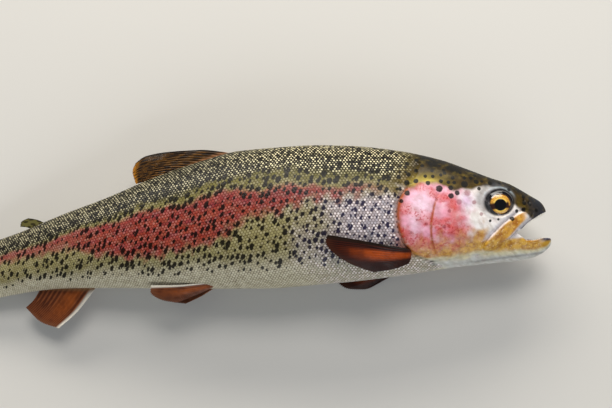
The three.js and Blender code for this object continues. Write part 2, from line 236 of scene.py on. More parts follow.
def head_relief(station, y):
    """Height in millimetres of the plates, ridges and grooves on the sides of the head."""
    gill = path_distance(station, y, gill_edge, closed=True)
    jaw = path_distance(station, y, upper_jaw_plate, closed=True)
    behind = path_distance(station, y, behind_head, closed=True)
    rear = ramp(station, 60, 74)
    cover = (1 - ramp(gill, -0.9, 0.1)) * (0.35 + 0.55 * rear) * ramp(station, 56, 64)
    slit = ridge(gill - 0.9, 0.7) * 1.3 * rear * (1 - ramp(y, 8, 13))
    seam = ridge(path_distance(station, y, cheek_line), 0.7)
    seam_lip = ridge(path_distance(station, y, cheek_line + (-0.9, 0)), 0.8)
    front = ridge(path_distance(station, y, cheek_front), 1.1)
    plate = 1 - ramp(jaw, -0.8, 0.1)
    plate_crease = ridge(jaw - 0.6, 0.6) * 0.7
    hinge = ridge(path_distance(station, y, jaw_hinge), 0.8) * 0.7
    around_eye = eye_share(station, y)
    lid = ridge(around_eye - 1.12, 0.1) * 0.55
    pits = sum(ridge(np.hypot(station - s, y - level), size) for s, level, size in nostrils)
    coat = coat_depth * ramp(-behind, -1.5, 1.5)
    relief = cover - slit - 0.45 * seam + 0.3 * seam_lip - 0.25 * front + plate - plate_crease - hinge
    orbit = 0.9 * (1 - ramp(around_eye, 0.86, 1.06))
    return relief + lid - 1.6 * pits - coat - orbit


def head_depth(station, y, reach):
    """The whole head: plain form, relief, open mouth and eye sockets."""
    depth = body_depth(station, y, reach)
    depth = smooth_max(depth, chin_station + 0.3 - station, 0.8)
    depth = depth - head_relief(station, y) * ramp(np.abs(reach), 3, 8)
    gap = path_distance(station, y, gape, closed=True)
    depth = smooth_max(depth, -gap, 1.2)
    for centre, radii in (palate, tongue_trough, throat_hollow):
        depth = smooth_max(depth, -ball_depth(station, y, reach, centre, radii), 1.0)
    socket = ball_depth(station, y, reach, eye_centre, [r - 0.25 for r in eye_radii])
    return smooth_max(depth, -socket, 0.5)


# The head is drawn from a fine grid of its depths, cut off square behind the gill covers.
grid_step = 0.6
head_end = 98.0
grid_low = np.array([-5.0, -46.0, -29.0])
grid_high = np.array([head_end + 4, 42.0, 29.0])
grid_count = np.ceil((grid_high - grid_low) / grid_step).astype(int)
grid_station, grid_level, grid_reach = (grid_low[i] + grid_step * np.arange(grid_count[i]) for i in range(3))
depths = head_depth(grid_station[:, None, None], grid_level[None, :, None], grid_reach[None, None, :])
level_grid = openvdb.FloatGrid()
level_grid.copyFromArray(depths.astype(np.float32))
points, quads = level_grid.convertToQuads(0.0)
points = points * grid_step + grid_low
head_points = np.stack([-points[:, 0], points[:, 1], points[:, 2]], -1)


def mesh_object(name, vertices, faces):
    """A piece made from the fish's own millimetres, kept above the floor."""
    mesh = bpy.data.meshes.new(name)
    placed = (np.asarray(vertices) + np.array(fish_origin)) * MM
    placed[:, 2] = np.maximum(placed[:, 2], 0)
    mesh.from_pydata(placed.tolist(), [], faces if isinstance(faces, list) else faces.tolist())
    mesh.update()
    made = bpy.data.objects.new(name, mesh)
    bpy.context.scene.collection.objects.link(made)
    return made


def turn_outwards(piece):
    """Makes all faces of one closed piece point outwards."""
    bpy.ops.object.select_all(action="DESELECT")
    bpy.context.view_layer.objects.active = piece
    piece.select_set(True)
    bpy.ops.object.mode_set(mode="EDIT")
    bpy.ops.mesh.select_all(action="SELECT")
    bpy.ops.mesh.normals_make_consistent(inside=False)
    bpy.ops.object.mode_set(mode="OBJECT")


skin = mesh_object("skin", head_points, quads)
bpy.context.view_layer.objects.active = skin
skin.select_set(True)
bpy.ops.object.mode_set(mode="EDIT")
bpy.ops.mesh.select_all(action="SELECT")
cut_x = (fish_origin.x - head_end) * MM
bpy.ops.mesh.bisect(plane_co=(cut_x, 0, 0), plane_no=(-1, 0, 0), clear_outer=True, threshold=1e-6)
bpy.ops.object.mode_set(mode="OBJECT")
turn_outwards(skin)

# The trunk and tail stalk carry on from there as rings, down to the root of the tail fin.
ring_sides, ring_count = 144, 132
ring_stations = np.r_[head_end + 1.2, np.linspace(head_end + 3, body_length, ring_count)]
ring_angles = np.linspace(0, 2 * pi, ring_sides, endpoint=False)
rings = body_point(ring_stations[:, None], ring_angles[None, :], -coat_depth)
ring_index = np.arange(rings.shape[0] * ring_sides).reshape(-1, ring_sides)
around = np.roll(ring_index, -1, axis=1)
ring_quads = np.stack([ring_index[:-1], ring_index[1:], around[1:], around[:-1]], -1).reshape(-1, 4)
trunk_faces = ring_quads.tolist() + [ring_index[-1].tolist()]
trunk_skin = mesh_object("trunk_skin", rings.reshape(-1, 3), trunk_faces)
trunk_skin.select_set(True)
bpy.ops.object.join()
bpy.ops.object.mode_set(mode="EDIT")
bpy.ops.mesh.select_all(action="DESELECT")
bpy.ops.mesh.select_mode(type="EDGE")
bpy.ops.mesh.select_non_manifold(extend=False, use_wire=False, use_multi_face=False,
                                use_non_contiguous=False, use_verts=False)
bpy.ops.mesh.bridge_edge_loops()
bpy.ops.object.mode_set(mode="OBJECT")
turn_outwards(skin)
bpy.ops.object.shade_smooth()


# The colours and markings lie in the hide itself, and skin and scales share them. A place on the
# hide is its station and its "arc", the way round from the back's middle line. "Girth" says how
# far round it is, from 0 at the back to 1 at the belly.
table_rows, table_columns = 420, 241
first_station = chin_station + 0.2
table_stations = np.linspace(first_station, body_length, table_rows)
table_angles = np.linspace(0, pi, table_columns)
table_points = body_point(table_stations[:, None], table_angles[None, :], 0)
table_steps = np.diff(table_points, axis=1, prepend=table_points[:, :1])
table_arcs = np.cumsum(np.linalg.norm(table_steps, axis=-1), axis=1)
arc_shares = np.linspace(0, 1, table_columns)
share_angles = np.array([np.interp(arc_shares, arcs / arcs[-1], table_angles) for arcs in table_arcs])


def table_value(table, station, share):
    """A table's value at a station and a share of the way across, from 0 to 1."""
    i = (station - first_station) / (table_stations[1] - first_station)
    i = np.clip(i, 0, table_rows - 1.001)
    j = np.clip(share, 0, 1) * (table_columns - 1.001)
    i0, j0 = i.astype(int), j.astype(int)
    fi, fj = i - i0, j - j0
    near = table[i0, j0] * (1 - fj) + table[i0, j0 + 1] * fj
    far = table[i0 + 1, j0] * (1 - fj) + table[i0 + 1, j0 + 1] * fj
    return near * (1 - fi) + far * fi


def half_girth(station):
    """The arc from back to belly."""
    return np.interp(station, table_stations, table_arcs[:, -1])


def hide_coordinates(points):
    """Station, level, reach, girth and signed arc of fish-frame points on or near the hide."""
    station = np.maximum(-points[:, 0], first_station)
    y, reach = points[:, 1], points[:, 2] - middle_plane(station)
    upper = y > widest_level(station)
    level, height, fullness = half_oval(station, upper)
    up = (np.abs(y - level) / height) ** (fullness / 2) * np.where(upper, 1, -1)
    girth = np.arctan2((np.abs(reach) / half_width(station)) ** (fullness / 2), up) / pi
    arc = table_value(table_arcs, station, girth) * np.where(reach < 0, -1, 1)
    return station, y, reach, girth, arc


def wander(a, b, size, seed):
    """Slow seeded noise of about -1 to 1 for blurring the borders between colours."""
    dice = np.random.default_rng(seed)
    total = 0
    for octave in range(3):
        for _ in range(3):
            turn_by, phase = dice.uniform(0, 2 * pi, 2)
            wave = 2 ** octave * 2 * pi / size
            ripple = np.sin(wave * (a * np.cos(turn_by) + b * np.sin(turn_by)) + phase)
            total = total + ripple / 2 ** octave / 2.2
    return total


class Paint:
    """One colour for each vertex, with further colours laid over it by their shares."""

    def __init__(self, ground, count):
        self.colour = np.tile(np.array(ground) ** 2.2, (count, 1))

    def lay(self, share, colour):
        share = np.asarray(share)[:, None]
        self.colour = self.colour * (1 - share) + np.array(colour, float) ** 2.2 * share


# girths where the rosy band, the dark lattice of the back and the olive of the head end
band_foot = smooth_line([
    (60, 0.4), (106, 0.408), (130, 0.422), (149, 0.448), (174, 0.478), (199, 0.54), (226, 0.6),
    (250, 0.61), (279, 0.572), (307, 0.475), (392, 0.45)])
lattice_foot = smooth_line([
    (60, 0.3), (80, 0.33), (99, 0.314), (135, 0.291), (172, 0.28), (210, 0.299), (250, 0.326), (292, 0.34),
    (340, 0.36), (392, 0.4)])
olive_foot = smooth_line([
    (-2, 0.47), (8, 0.47), (16, 0.45), (22, 0.4), (26, 0.3), (33.5, 0.283), (40, 0.321), (51, 0.36),
    (55.5, 0.385), (61, 0.37), (66, 0.356), (76, 0.355), (82, 0.377), (88, 0.36), (110, 0.33)])
# black and rusty spots of the head: station, level and radius
head_spots = [
    (49, 10, 2.2), (57.5, 8.5, 1.6), (64.5, 8.5, 2.2), (58, 3.5, 1.8), (54, 5, 1.6), (63, 13, 1.4),
    (58.5, 12, 1.2), (55, 11.5, 1.2), (71, 12.5, 1.6), (78, 14.5, 1.6), (83.5, 14, 1.8), (84, 7.5, 1.8),
    (88, 3, 1.4), (55.5, 14.5, 1.2), (60, 18, 1.2), (62.5, 17, 1.1), (67.5, 16.5, 1.2), (72, 17, 1.2),
    (67.5, 20, 1.1), (60.5, 20, 1.1), (57.5, 21, 1.1), (62.5, 23, 1.1), (49, 21, 1), (50.5, 17.5, 1.2),
    (48.5, 14, 1.2), (44.5, 13.5, 1.2), (41.5, 15, 1.3), (41.5, 11, 1.7), (38, 11, 1), (33, 9.5, 1.5),
    (40.5, 6.5, 1.2), (27, 9.5, 1.3), (22, 4.5, 1.3), (16, 3.5, 1), (13.5, -0.5, 1.3),
    (13.5, -4.5, 1.4), (10, -5.5, 1.2), (14.5, -8.5, 1.5), (19, -9, 1.2), (22.5, -13.5, 1.5),
    (6.5, -9.5, 1.2), (36, -13.5, 0.9), (31, -13, 0.8), (68, 25, 1.4), (73, 24, 1.3), (77, 21, 1.4),
    (82, 19, 1.5), (88, 18, 1.5), (76, 28, 1.5), (71, 29.5, 1.3), (65, 27.5, 1.2), (82, 26, 1.5)]
rust_spots = [
    (41, -9, 1.2), (67, 2, 1), (60, -5.5, 1.2), (64, -14.5, 1.2), (74.5, -12, 1.2), (53.5, -0.5, 1.8),
    (48, 4.5, 2.2), (44.5, -1.5, 1.4), (80, -9, 1), (84, -16, 1)]


def side_reach(station, y, highest_share):
    """How far the plain body's side stands out from the middle plane at a level."""
    level, height, fullness = half_oval(station, y > widest_level(station))
    share = min(abs(y - level) / height, highest_share)
    return float(half_width(station) * (1 - share ** fullness) ** (1 / fullness))


def nearest_spot(points, spots, seed):
    """Distance to the nearest spot's centre in radii. The left side's spots are shifted a little."""
    dice = np.random.default_rng(seed)
    nearest = np.full(len(points), 9.0)
    for s, y, radius in spots:
        for side in (1, -1):
            shift = dice.uniform(-2.4, 2.4, 2) * (side < 0)
            s1, y1 = s + shift[0], min(y + shift[1], back_line(s + shift[0]) - 0.5)
            apart = (points - (-s1, y1, side_reach(s1, y1, 1) * side)) * (1, 1, 0.6)
            nearest = np.minimum(nearest, np.linalg.norm(apart, axis=1) / radius)
    return nearest


def paint_trunk(s, y, arc, side, g1, fine, blur, behind, body):
    """The pigment behind the head, and the shares of silver, dark lattice and nape in it."""
    olive = (1 - ramp(g1, 0.3, 0.4)) * 0.9
    silver = ramp(g1, 0.38, 0.47) * (1 - ramp(s + 8 * blur, 115, 165))
    belly = ramp(g1, 0.62, 0.76)
    paint = Paint((0.58, 0.55, 0.38), len(s))
    paint.lay(olive, (0.39, 0.37, 0.16))
    paint.lay(silver, (0.74, 0.71, 0.71))
    paint.lay(belly, (0.8, 0.77, 0.66))

    # the rosy band: pale and wide in front, red and streaked along the flank, fading on the stalk
    foot = band_foot(s)
    band = ramp(g1, 0.35, 0.395) * (1 - ramp(g1 + 0.012 * fine, foot - 0.045, foot + 0.03))
    band = band * np.clip(0.92 + 0.16 * wander(s + side, 1.4 * arc, 6, 15), 0, 1)
    pale_rose = band * (1 - 0.4 * ramp(s, 112, 150)) * ramp(s, 88, 124)
    red = (0.35 + 0.57 * ramp(s, 100, 165)) * (1 - 0.45 * ramp(s, 265, 325)) * ramp(s, 92, 118) * band
    streaks = np.clip(0.5 + 0.6 * wander(s + side, 2.5 * arc, 19, 12), 0, 1)
    mauve = np.clip(0.1 + 0.7 * wander(s + side, 1.6 * arc, 13, 14), 0, 1)
    upper_edge = band * ridge(g1 - 0.395, 0.025)
    paint.lay(pale_rose, (0.6, 0.36, 0.4))
    paint.lay(red, (0.54, 0.15, 0.1))
    paint.lay(red * streaks * 0.6, (0.68, 0.33, 0.27))
    paint.lay(red * mauve * 0.5, (0.52, 0.24, 0.3))
    paint.lay(upper_edge * 0.35, (0.5, 0.2, 0.25))

    # a flush behind the gill cover, and the dark net of the back with a browner nape
    flush = ridge(np.hypot((s - 88) / 6, (y + 22) / 8), 1)
    middle_line = 1 - ramp(g1, 0.02, 0.07)
    nape = (1 - ramp(-behind + 2 * fine, 2, 19)) * (1 - ramp(g1, 0.36, 0.42))
    lattice = (1 - ramp(g1, lattice_foot(s) - 0.03, lattice_foot(s) + 0.03)) * body
    paint.lay(flush * 0.75, (0.84, 0.42, 0.4))
    paint.lay(middle_line, (0.14, 0.15, 0.13))
    paint.lay(lattice * 0.95, (0.06, 0.055, 0.04))
    paint.lay(nape, (0.4, 0.35, 0.17))
    lattice = lattice * (1 - 0.85 * nape) * (1 - 0.5 * ramp(s, 150, 210))
    return paint.colour, silver, lattice, nape


def paint_head(s, y, g1, fine, blur):
    """The pigment of the head, and the shares of olive top, red cheek and gilding in it."""
    underside = ramp(g1, 0.7, 0.9)
    paint = Paint((0.96, 0.94, 0.93), len(s))
    paint.lay(underside, (0.78, 0.74, 0.66))

    # rosy gill cover and cheek, with lilac patches and pearly pink-white patches that are partly painted
    # highlight
    gill = path_distance(s, y, gill_edge, closed=True)
    pink = np.maximum(1 - ramp(gill + 0.8 * fine * ramp(y, 2, 8), -0.7, 0.8), 1 - ramp(s, 58, 66))
    pink = pink * ramp(y + 2 * fine, -33, -25) * ramp(s + 3 * fine - 0.2 * (y + 8), 44, 59)
    rosy = pink * np.clip(0.4 + 0.8 * wander(s, y, 15, 8) + 0.035 * (-8 - y), 0, 1)
    # pearly pink-white on the cover, brightened into a painted highlight
    pearl_highlight = pink * ridge(np.hypot((s - 76) / 8, y / 9), 1)
    pearl_highlight = pearl_highlight + ridge(np.hypot((s - 82) / 3, (y + 13) / 9), 1) * 0.6
    redder = pink * ridge((s - 56 + 0.1 * y) / 4, 1) * ridge((y + 6) / 11, 1)
    lilac = ridge(np.hypot((s - 49) / 5, y / 6), 1)
    paint.lay(pink, (0.92, 0.64, 0.73))
    paint.lay(rosy * 0.85, (0.85, 0.38, 0.38))
    paint.lay(np.clip(pearl_highlight, 0, 1) * 0.8, (0.96, 0.86, 0.94))
    paint.lay(redder * 0.8, (0.85, 0.36, 0.3))
    paint.lay(lilac * 0.6, (0.78, 0.62, 0.82))

    # ribbed gold below the cheek, and the gill cover's rim and seam
    gold = ramp(-y + 3 * fine - 0.12 * (s - 50), 15.5, 24) * ramp(s, 36, 42) * (1 - pink * 0.6)
    ribs = 0.5 + 0.5 * np.sin((y + 0.18 * (s - 30) + 0.6 * fine) * 1.5)
    rim = ridge(gill + 0.3, 2.1) * ramp(s, 66, 80)
    rim = rim + ridge(path_distance(s, y, cheek_line), 0.8) * ramp(-y, -6, 2)
    paint.lay(gold * 0.95, (0.8, 0.58, 0.22))
    paint.lay(gold * ribs * 0.4, (0.66, 0.36, 0.14))
    paint.lay(np.clip(rim, 0, 1) * 0.95, (0.66, 0.32, 0.1))

    # olive top with a lemon patch, dark crest and snout
    top = 1 - ramp(g1, olive_foot(s) - 0.02, olive_foot(s) + 0.015)
    lemon = ridge(np.hypot((s - 73) / 9, (y - 13.5) / 4), 1) * top
    crest = (1 - ramp(g1 + 0.03 * fine, 0.14, 0.33)) * top
    snout = (1 - ramp(s + fine, 4, 17)) * ramp(y, -16, -12)
    paint.lay(top, (0.27, 0.21, 0.05))
    paint.lay(lemon * 0.8, (0.84, 0.76, 0.36))
    paint.lay(crest * 0.97, (0.05, 0.05, 0.035))
    paint.lay(snout * 0.85, (0.14, 0.16, 0.2))

    # painted shade on the lids round the eye, darkest in the socket at its rim, a painted highlight along the
    # upper lid, and painted shade in the nostril pits
    around_eye = eye_share(s, y)
    lid_shade = 1 - ramp(np.hypot((s - 31.5) / 11.5, (y + 0.2) / 9.4), 0.8, 1.25)
    orbit_rim_shade = 1 - ramp(around_eye, 0.9, 1.12)
    upper_lid_highlight = ridge(around_eye - 1.16, 0.07) * ramp(y, -2, 4)
    paint.lay(lid_shade * 0.6, (0.3, 0.32, 0.36))
    paint.lay(orbit_rim_shade * 0.95, (0.08, 0.09, 0.12))
    paint.lay(upper_lid_highlight * 0.6, (0.62, 0.68, 0.72))
    for pit_s, pit_y, size in nostrils:
        paint.lay(ridge(np.hypot(s - pit_s, y - pit_y), size * 0.8), (0.05, 0.05, 0.05))

    # golden upper jaw plate, streaked, in a silver border, with painted shade in the crease at its edge
    jaw = path_distance(s, y, upper_jaw_plate, closed=True)
    border = ridge(jaw - 1.5, 1.2) * ramp(s, 14, 22)
    crease_shade = ridge(jaw - 0.2, 0.5) * ramp(s, 14, 22)
    plate = (1 - ramp(jaw, -1.6, -0.1)) * ramp(s, 12, 17)
    streak = np.clip(0.5 + 0.5 * wander(0.9 * s + 0.9 * y, 4 * (y - 0.7 * s), 14, 31), 0, 1)
    lower_edge = ridge(jaw + 0.4, 0.6) * ramp(s, 14, 20) * ramp(-y, 12, 20)
    paint.lay(border * 0.9, (0.84, 0.82, 0.84))
    paint.lay(crease_shade * 0.6, (0.45, 0.4, 0.48))
    paint.lay(plate, (0.8, 0.58, 0.27))
    paint.lay(plate * streak * 0.7, (0.62, 0.36, 0.12))
    paint.lay(lower_edge * 0.6, (0.86, 0.78, 0.72))

    # golden chin with a dark tip, over a pale throat, with a grey line of painted shade along its fold, and
    # dark lips
    chin = ramp(-y, 24.5, 26.5) * (1 - ramp(s, 40, 60))
    throat = ramp(g1 + 0.006 * blur, 0.75, 0.8)
    throat_middle = ramp(g1 + 0.006 * fine, 0.79, 0.86)
    chin_fold_shade = ridge(y + 0.04 * s + 35.4, 0.8) * chin
    chin_tip = chin * (1 - ramp(-y, 27.6, 29.4)) * (1 - ramp(s, 5, 14))
    lips = ridge(path_distance(s, y, gape[1:8]), 1.4)
    paint.lay(chin, (0.76, 0.58, 0.2))
    paint.lay(throat, (0.85, 0.81, 0.66))
    paint.lay(throat_middle, (0.8, 0.8, 0.77))
    paint.lay(chin_fold_shade * 0.5, (0.42, 0.42, 0.42))
    paint.lay(chin_tip, (0.16, 0.19, 0.28))
    paint.lay(lips * 0.9, (0.17, 0.19, 0.27))
    gilt = np.clip(gold + plate * 0.9 + chin * ramp(s, 2, 8), 0, 1) * (1 - throat)
    return paint.colour, top, rosy, gilt


def keep_vectors(piece, name, first, second, third):
    """Keeps three values on each vertex of a piece, for its material to read."""
    values = np.stack([first, second, third], -1).astype(np.float32)
    piece.data.attributes.new(name, "FLOAT_VECTOR", "POINT").data.foreach_set("vector", values.ravel())


left_side_shift = 500.0  # added to stations on the left, so that its pattern differs from the right's


def mark_hide(piece, points, spot_place=None):
    """Keeps the hide's pigments, markings and places on a piece's vertices."""
    s, y, reach, girth, arc = hide_coordinates(points)
    side = np.where(reach < 0, left_side_shift, 0)
    blur = wander(s + side, arc, 38, 3)
    fine = wander(s + side, arc, 11, 4)
    g1 = girth + 0.012 * blur + 0.006 * fine  # the girth with wandering borders

    # "body" is 0 on the head and 1 behind it, with a soft border only at the nape
    behind = path_distance(s, y, behind_head, closed=True)
    body = ramp((-behind + 1) / (4 + 12 * (1 - ramp(g1, 0.33, 0.38))), 0, 1)
    trunk_colour, silver, lattice, nape = paint_trunk(s, y, arc, side, g1, fine, blur, behind, body)
    head_colour, top, rosy, gilt = paint_head(s, y, g1, fine, blur)
    hide = Paint((0, 0, 0), len(s))
    hide.colour = trunk_colour * body[:, None] + head_colour * (1 - body[:, None])

    # the mouth's pale lining, with reddish painted shade deeper in, towards the throat
    deep = path_distance(s, y, gape, closed=True)
    for centre, radii in (palate, tongue_trough):
        deep = np.minimum(deep, ball_depth(s, y, reach, centre, radii))
    lining = ramp(-body_depth(s, y, reach), 1.0, 1.8) * (1 - ramp(deep, 0.8, 1.6)) * (s < 50)
    hide.lay(lining, (0.83, 0.76, 0.73))
    hide.lay(lining * ramp(s, 20, 34), (0.4, 0.2, 0.17))

    spotting = 0.84 + 0.3 * ramp(g1, 0.25, 0.3) - 0.22 * ramp(g1, 0.37, 0.4) + 0.06 * ramp(g1, 0.47, 0.53)
    spotting = (spotting - 0.11 * silver) * body * (1 - ramp(g1, 0.7, 0.79))
    ink = nearest_spot(points, head_spots, 21)
    rust = nearest_spot(points, rust_spots, 22)
    cheek = (1 - body) * (1 - top)
    spot_s, spot_arc = (s, arc) if spot_place is None else spot_place
    keep_vectors(piece, "hide_place", (spot_s + side) * MM, spot_arc * MM, cheek * rosy)
    keep_vectors(piece, "marks", spotting, ink, rust)
    keep_vectors(piece, "zones", lattice, gilt * (1 - body), body * silver + cheek)
    pigment = np.c_[hide.colour, np.maximum(1 - body, 0.8 * nape)].astype(np.float32)
    piece.data.attributes.new("pigment", "FLOAT_COLOR", "POINT").data.foreach_set("color", pigment.ravel())


class Wiring:
    """Adds nodes to a group and links them."""

    def __init__(self, group):
        self.tree = group

    def node(self, kind, inputs=(), **settings):
        made = self.tree.nodes.new("ShaderNode" + kind)
        for name, value in settings.items():
            setattr(made, name, value)
        for key, value in dict(inputs).items():
            if isinstance(value, bpy.types.NodeSocket):
                self.tree.links.new(value, made.inputs[key])
            else:
                made.inputs[key].default_value = value
        return made.outputs

    def math(self, operation, *values):
        return self.node("Math", dict(enumerate(values)), operation=operation)[0]

    def times(self, a, b):
        return self.math("MULTIPLY", a, b)

    def times_plus(self, a, b, c):
        return self.math("MULTIPLY_ADD", a, b, c)

    def minus(self, a, b):
        return self.math("SUBTRACT", a, b)

    def length(self, a, b):
        return self.math("SQRT", self.math("ADD", self.times(a, a), self.times(b, b)))

    def ramp(self, value, low, high, to_low=0.0, to_high=1.0):
        return self.node("MapRange", {0: value, 1: low, 2: high, 3: to_low, 4: to_high},
                         interpolation_type="SMOOTHSTEP")[0]

    def mix(self, share, a, b, blend="MIX"):
        return self.node("Mix", {0: share, 6: a, 7: b}, data_type="RGBA", blend_type=blend)[2]

    def noise(self, where, scale, detail=2.0, **others):
        return self.node("TexNoise", {"Vector": where, "Scale": scale, "Detail": detail, **others})[0]

    def attribute(self, name, output="Vector"):
        return self.node("Attribute", attribute_name=name)[output]

    def split(self, vector):
        return self.node("SeparateXYZ", {0: vector})

    def put_out(self, colour, roughness, height):
        out = self.tree.nodes.new("NodeGroupOutput")
        for name, value in (("Base Color", colour), ("Roughness", roughness), ("Height", height)):
            self.tree.links.new(value, out.inputs[name])


def tone(r, g, b):
    return (r ** 2.2, g ** 2.2, b ** 2.2, 1)


def surface_group(name, colours=(), values=()):
    """A node group that gives a wet surface its colour, roughness and height."""
    group = bpy.data.node_groups.new(name, "ShaderNodeTree")
    for names, kind in ((colours, "NodeSocketColor"), (values, "NodeSocketFloat")):
        for socket_name in names:
            group.interface.new_socket(socket_name, in_out="INPUT", socket_type=kind)
    group.interface.new_socket("Base Color", in_out="OUTPUT", socket_type="NodeSocketColor")
    for socket_name in ("Roughness", "Height"):
        group.interface.new_socket(socket_name, in_out="OUTPUT", socket_type="NodeSocketFloat")
    return group


hide_marks = surface_group("hide_marks")
w = Wiring(hide_marks)
place = w.attribute("hide_place")
pigment = w.attribute("pigment", "Color")
head_share = w.attribute("pigment", "Alpha")
spotting, ink_distance, rust_distance = w.split(w.attribute("marks"))
lattice, gilt, silvery = w.split(w.attribute("zones"))
scale_u, scale_v, scale_luck = w.split(w.attribute("scale_place"))
flat_place = w.node("VectorMath", {0: place, 1: (1, 1, 0)}, operation="MULTIPLY")[0]
solid_place = w.node("TexCoord")["Object"]

# irregular slanting spots of the trunk, on a wobbly grid about 4 mm wide
wobble = w.node("TexNoise", {"Vector": flat_place, "Scale": 420.0, "Detail": 2.0})["Color"]
shift = w.node("VectorMath", {0: wobble, 1: (0.5, 0.5, 0.5)}, operation="SUBTRACT")[0]
bent = w.node("VectorMath", {0: shift, 1: (0.0022, 0.0022, 0), 2: flat_place}, operation="MULTIPLY_ADD")[0]
spot_cell, spot_stretch, spot_radius = 3.9 * MM, 0.76, 0.29
grid_along = (1 / spot_cell, -0.3 / spot_cell, 0)
grid_across = (0, spot_stretch / spot_cell, 0)
slanted = w.node("VectorMath", {0: bent, 1: grid_along}, operation="DOT_PRODUCT")[1]
upright = w.node("VectorMath", {0: bent, 1: grid_across}, operation="DOT_PRODUCT")[1]
spot_grid = w.node("CombineXYZ", {0: slanted, 1: upright})[0]
cells = w.node("TexVoronoi", {"Vector": spot_grid, "Scale": 1.0, "Randomness": 0.72}, voronoi_dimensions="2D")
size = w.times_plus(w.split(cells["Color"])[0], 0.24, spot_radius - 0.12)
dots = w.ramp(w.minus(cells["Distance"], w.times(size, spotting)), 0.05, -0.05)

# black and rusty spots of the head, with ragged borders
ragged = w.noise(flat_place, 900.0)
ink = w.ramp(w.times_plus(ragged, 0.5, w.minus(ink_distance, 0.25)), 1.12, 0.8)
rust = w.ramp(w.times_plus(ragged, 0.6, w.minus(rust_distance, 0.3)), 1.25, 0.6)
rust = w.times(rust, 0.6)

# the middle of each scale with painted shade along its edge, and the cream centres of those on the back,
# partly painted glints
off_centre = w.length(w.times(w.minus(scale_u, 0.76), 5.0), w.times(scale_v, 1.9))
has_scale = w.math("GREATER_THAN", scale_luck, 0.001)
centre = w.times(w.ramp(off_centre, 1.1, 0.55), w.minus(has_scale, lattice))
scale_edge_shade = w.times(w.ramp(off_centre, 0.8, 1.35), w.minus(has_scale, head_share))
# cream centres on the back's scales, partly painted glints
cream_glint_reach = w.times_plus(w.minus(0.5, ragged), 0.9, off_centre)
cream_glint_reach = w.times_plus(scale_luck, -0.22, w.math("ADD", cream_glint_reach, 0.1))
cream_glint = w.times(w.times(w.ramp(cream_glint_reach, 0.83, 0.45), has_scale), lattice)
cream_glint = w.times(cream_glint, w.ramp(scale_luck, 0.0, 0.7, 0.25, 1.0))

# the pigment, mottled, with scales of their own tints, painted shade at their edges and painted highlights
# and glints at their centres
mottle = w.noise(flat_place, 260.0, 3.0)
colour = w.mix(w.ramp(mottle, 0.3, 0.7, 0.0, 0.45), pigment, tone(0.7, 0.66, 0.6), "MULTIPLY")
tint = w.mix(scale_luck, tone(0.8, 0.85, 1.0), tone(1.0, 0.87, 0.92))
colour = w.mix(w.times(w.times(silvery, has_scale), 0.4), colour, tint, "MULTIPLY")
colour = w.mix(w.times(scale_edge_shade, 0.75), colour, tone(0.5, 0.45, 0.42), "MULTIPLY")
centre_highlight = w.times(centre, w.times_plus(silvery, 0.25, 0.1))
centre_highlight = w.times(centre_highlight, w.ramp(scale_luck, 0.15, 1.0))
colour = w.mix(centre_highlight, colour, tone(0.62, 0.55, 0.5), "SCREEN")
glint = w.times(centre, w.times_plus(silvery, 0.6, 0.05))
glint = w.times(glint, w.ramp(scale_luck, 0.45, 0.75))
colour = w.mix(glint, colour, tone(0.98, 0.96, 0.97))

# stains and flecks of the head, the gilding of its jaws with pale painted glints, and the speckled red of its
# cheeks
stains = w.noise(solid_place, 170.0, 4.0, Roughness=0.6, Distortion=0.5)
stained = w.times(head_share, w.ramp(stains, 0.46, 0.7, 0.0, 0.3))
colour = w.mix(stained, colour, tone(0.78, 0.62, 0.58), "MULTIPLY")
flecks = w.noise(solid_place, 240.0, 3.0, Roughness=0.55)
olive_fleck = w.mix(0.3, colour, tone(0.7, 0.6, 0.25))
pearly_fleck = w.mix(0.45, colour, tone(1.0, 0.95, 0.97))
flecked = w.times(head_share, w.ramp(flecks, 0.5, 0.75, 0.0, 0.5))
colour = w.mix(flecked, colour, w.mix(silvery, olive_fleck, pearly_fleck))
scribble = w.noise(solid_place, 300.0, 5.0, Roughness=0.55)
grains = w.noise(solid_place, 800.0)
gilded = w.mix(w.ramp(scribble, 0.34, 0.66), tone(0.58, 0.34, 0.11), tone(0.9, 0.7, 0.3))
# pale grains painted on the gold as glints
gilded = w.mix(w.ramp(grains, 0.57, 0.75, 0.0, 0.7), gilded, tone(1.0, 0.92, 0.7))
colour = w.mix(w.times(gilt, 0.6), colour, gilded)
speckle = w.times(w.ramp(grains, 0.5, 0.66), w.split(place)[2])
colour = w.mix(w.times(speckle, 0.75), colour, tone(0.68, 0.2, 0.2))

# cream centres, partly painted glints, and spots lie over all
colour = w.mix(w.times(cream_glint, 0.95), colour, tone(0.93, 0.89, 0.72))
colour = w.mix(rust, colour, tone(0.5, 0.16, 0.2))
spot_colour = w.mix(silvery, tone(0.07, 0.06, 0.05), tone(0.12, 0.1, 0.22))
colour = w.mix(w.times(dots, 0.95), colour, spot_colour)
colour = w.mix(w.times(ink, 0.95), colour, tone(0.06, 0.06, 0.05))

# the head, and the dark lattice between the cream centres and their painted glints, are duller than the rest
rough = w.times_plus(head_share, 0.08, w.ramp(mottle, 0.2, 0.8, 0.26, 0.4))
rough = w.times_plus(w.minus(lattice, cream_glint), 0.4, rough)
head_top = w.times(w.minus(1.0, silvery), head_share)
rough = w.times_plus(head_top, 0.25, rough)
w.put_out(colour, rough, w.noise(flat_place, 1500.0))


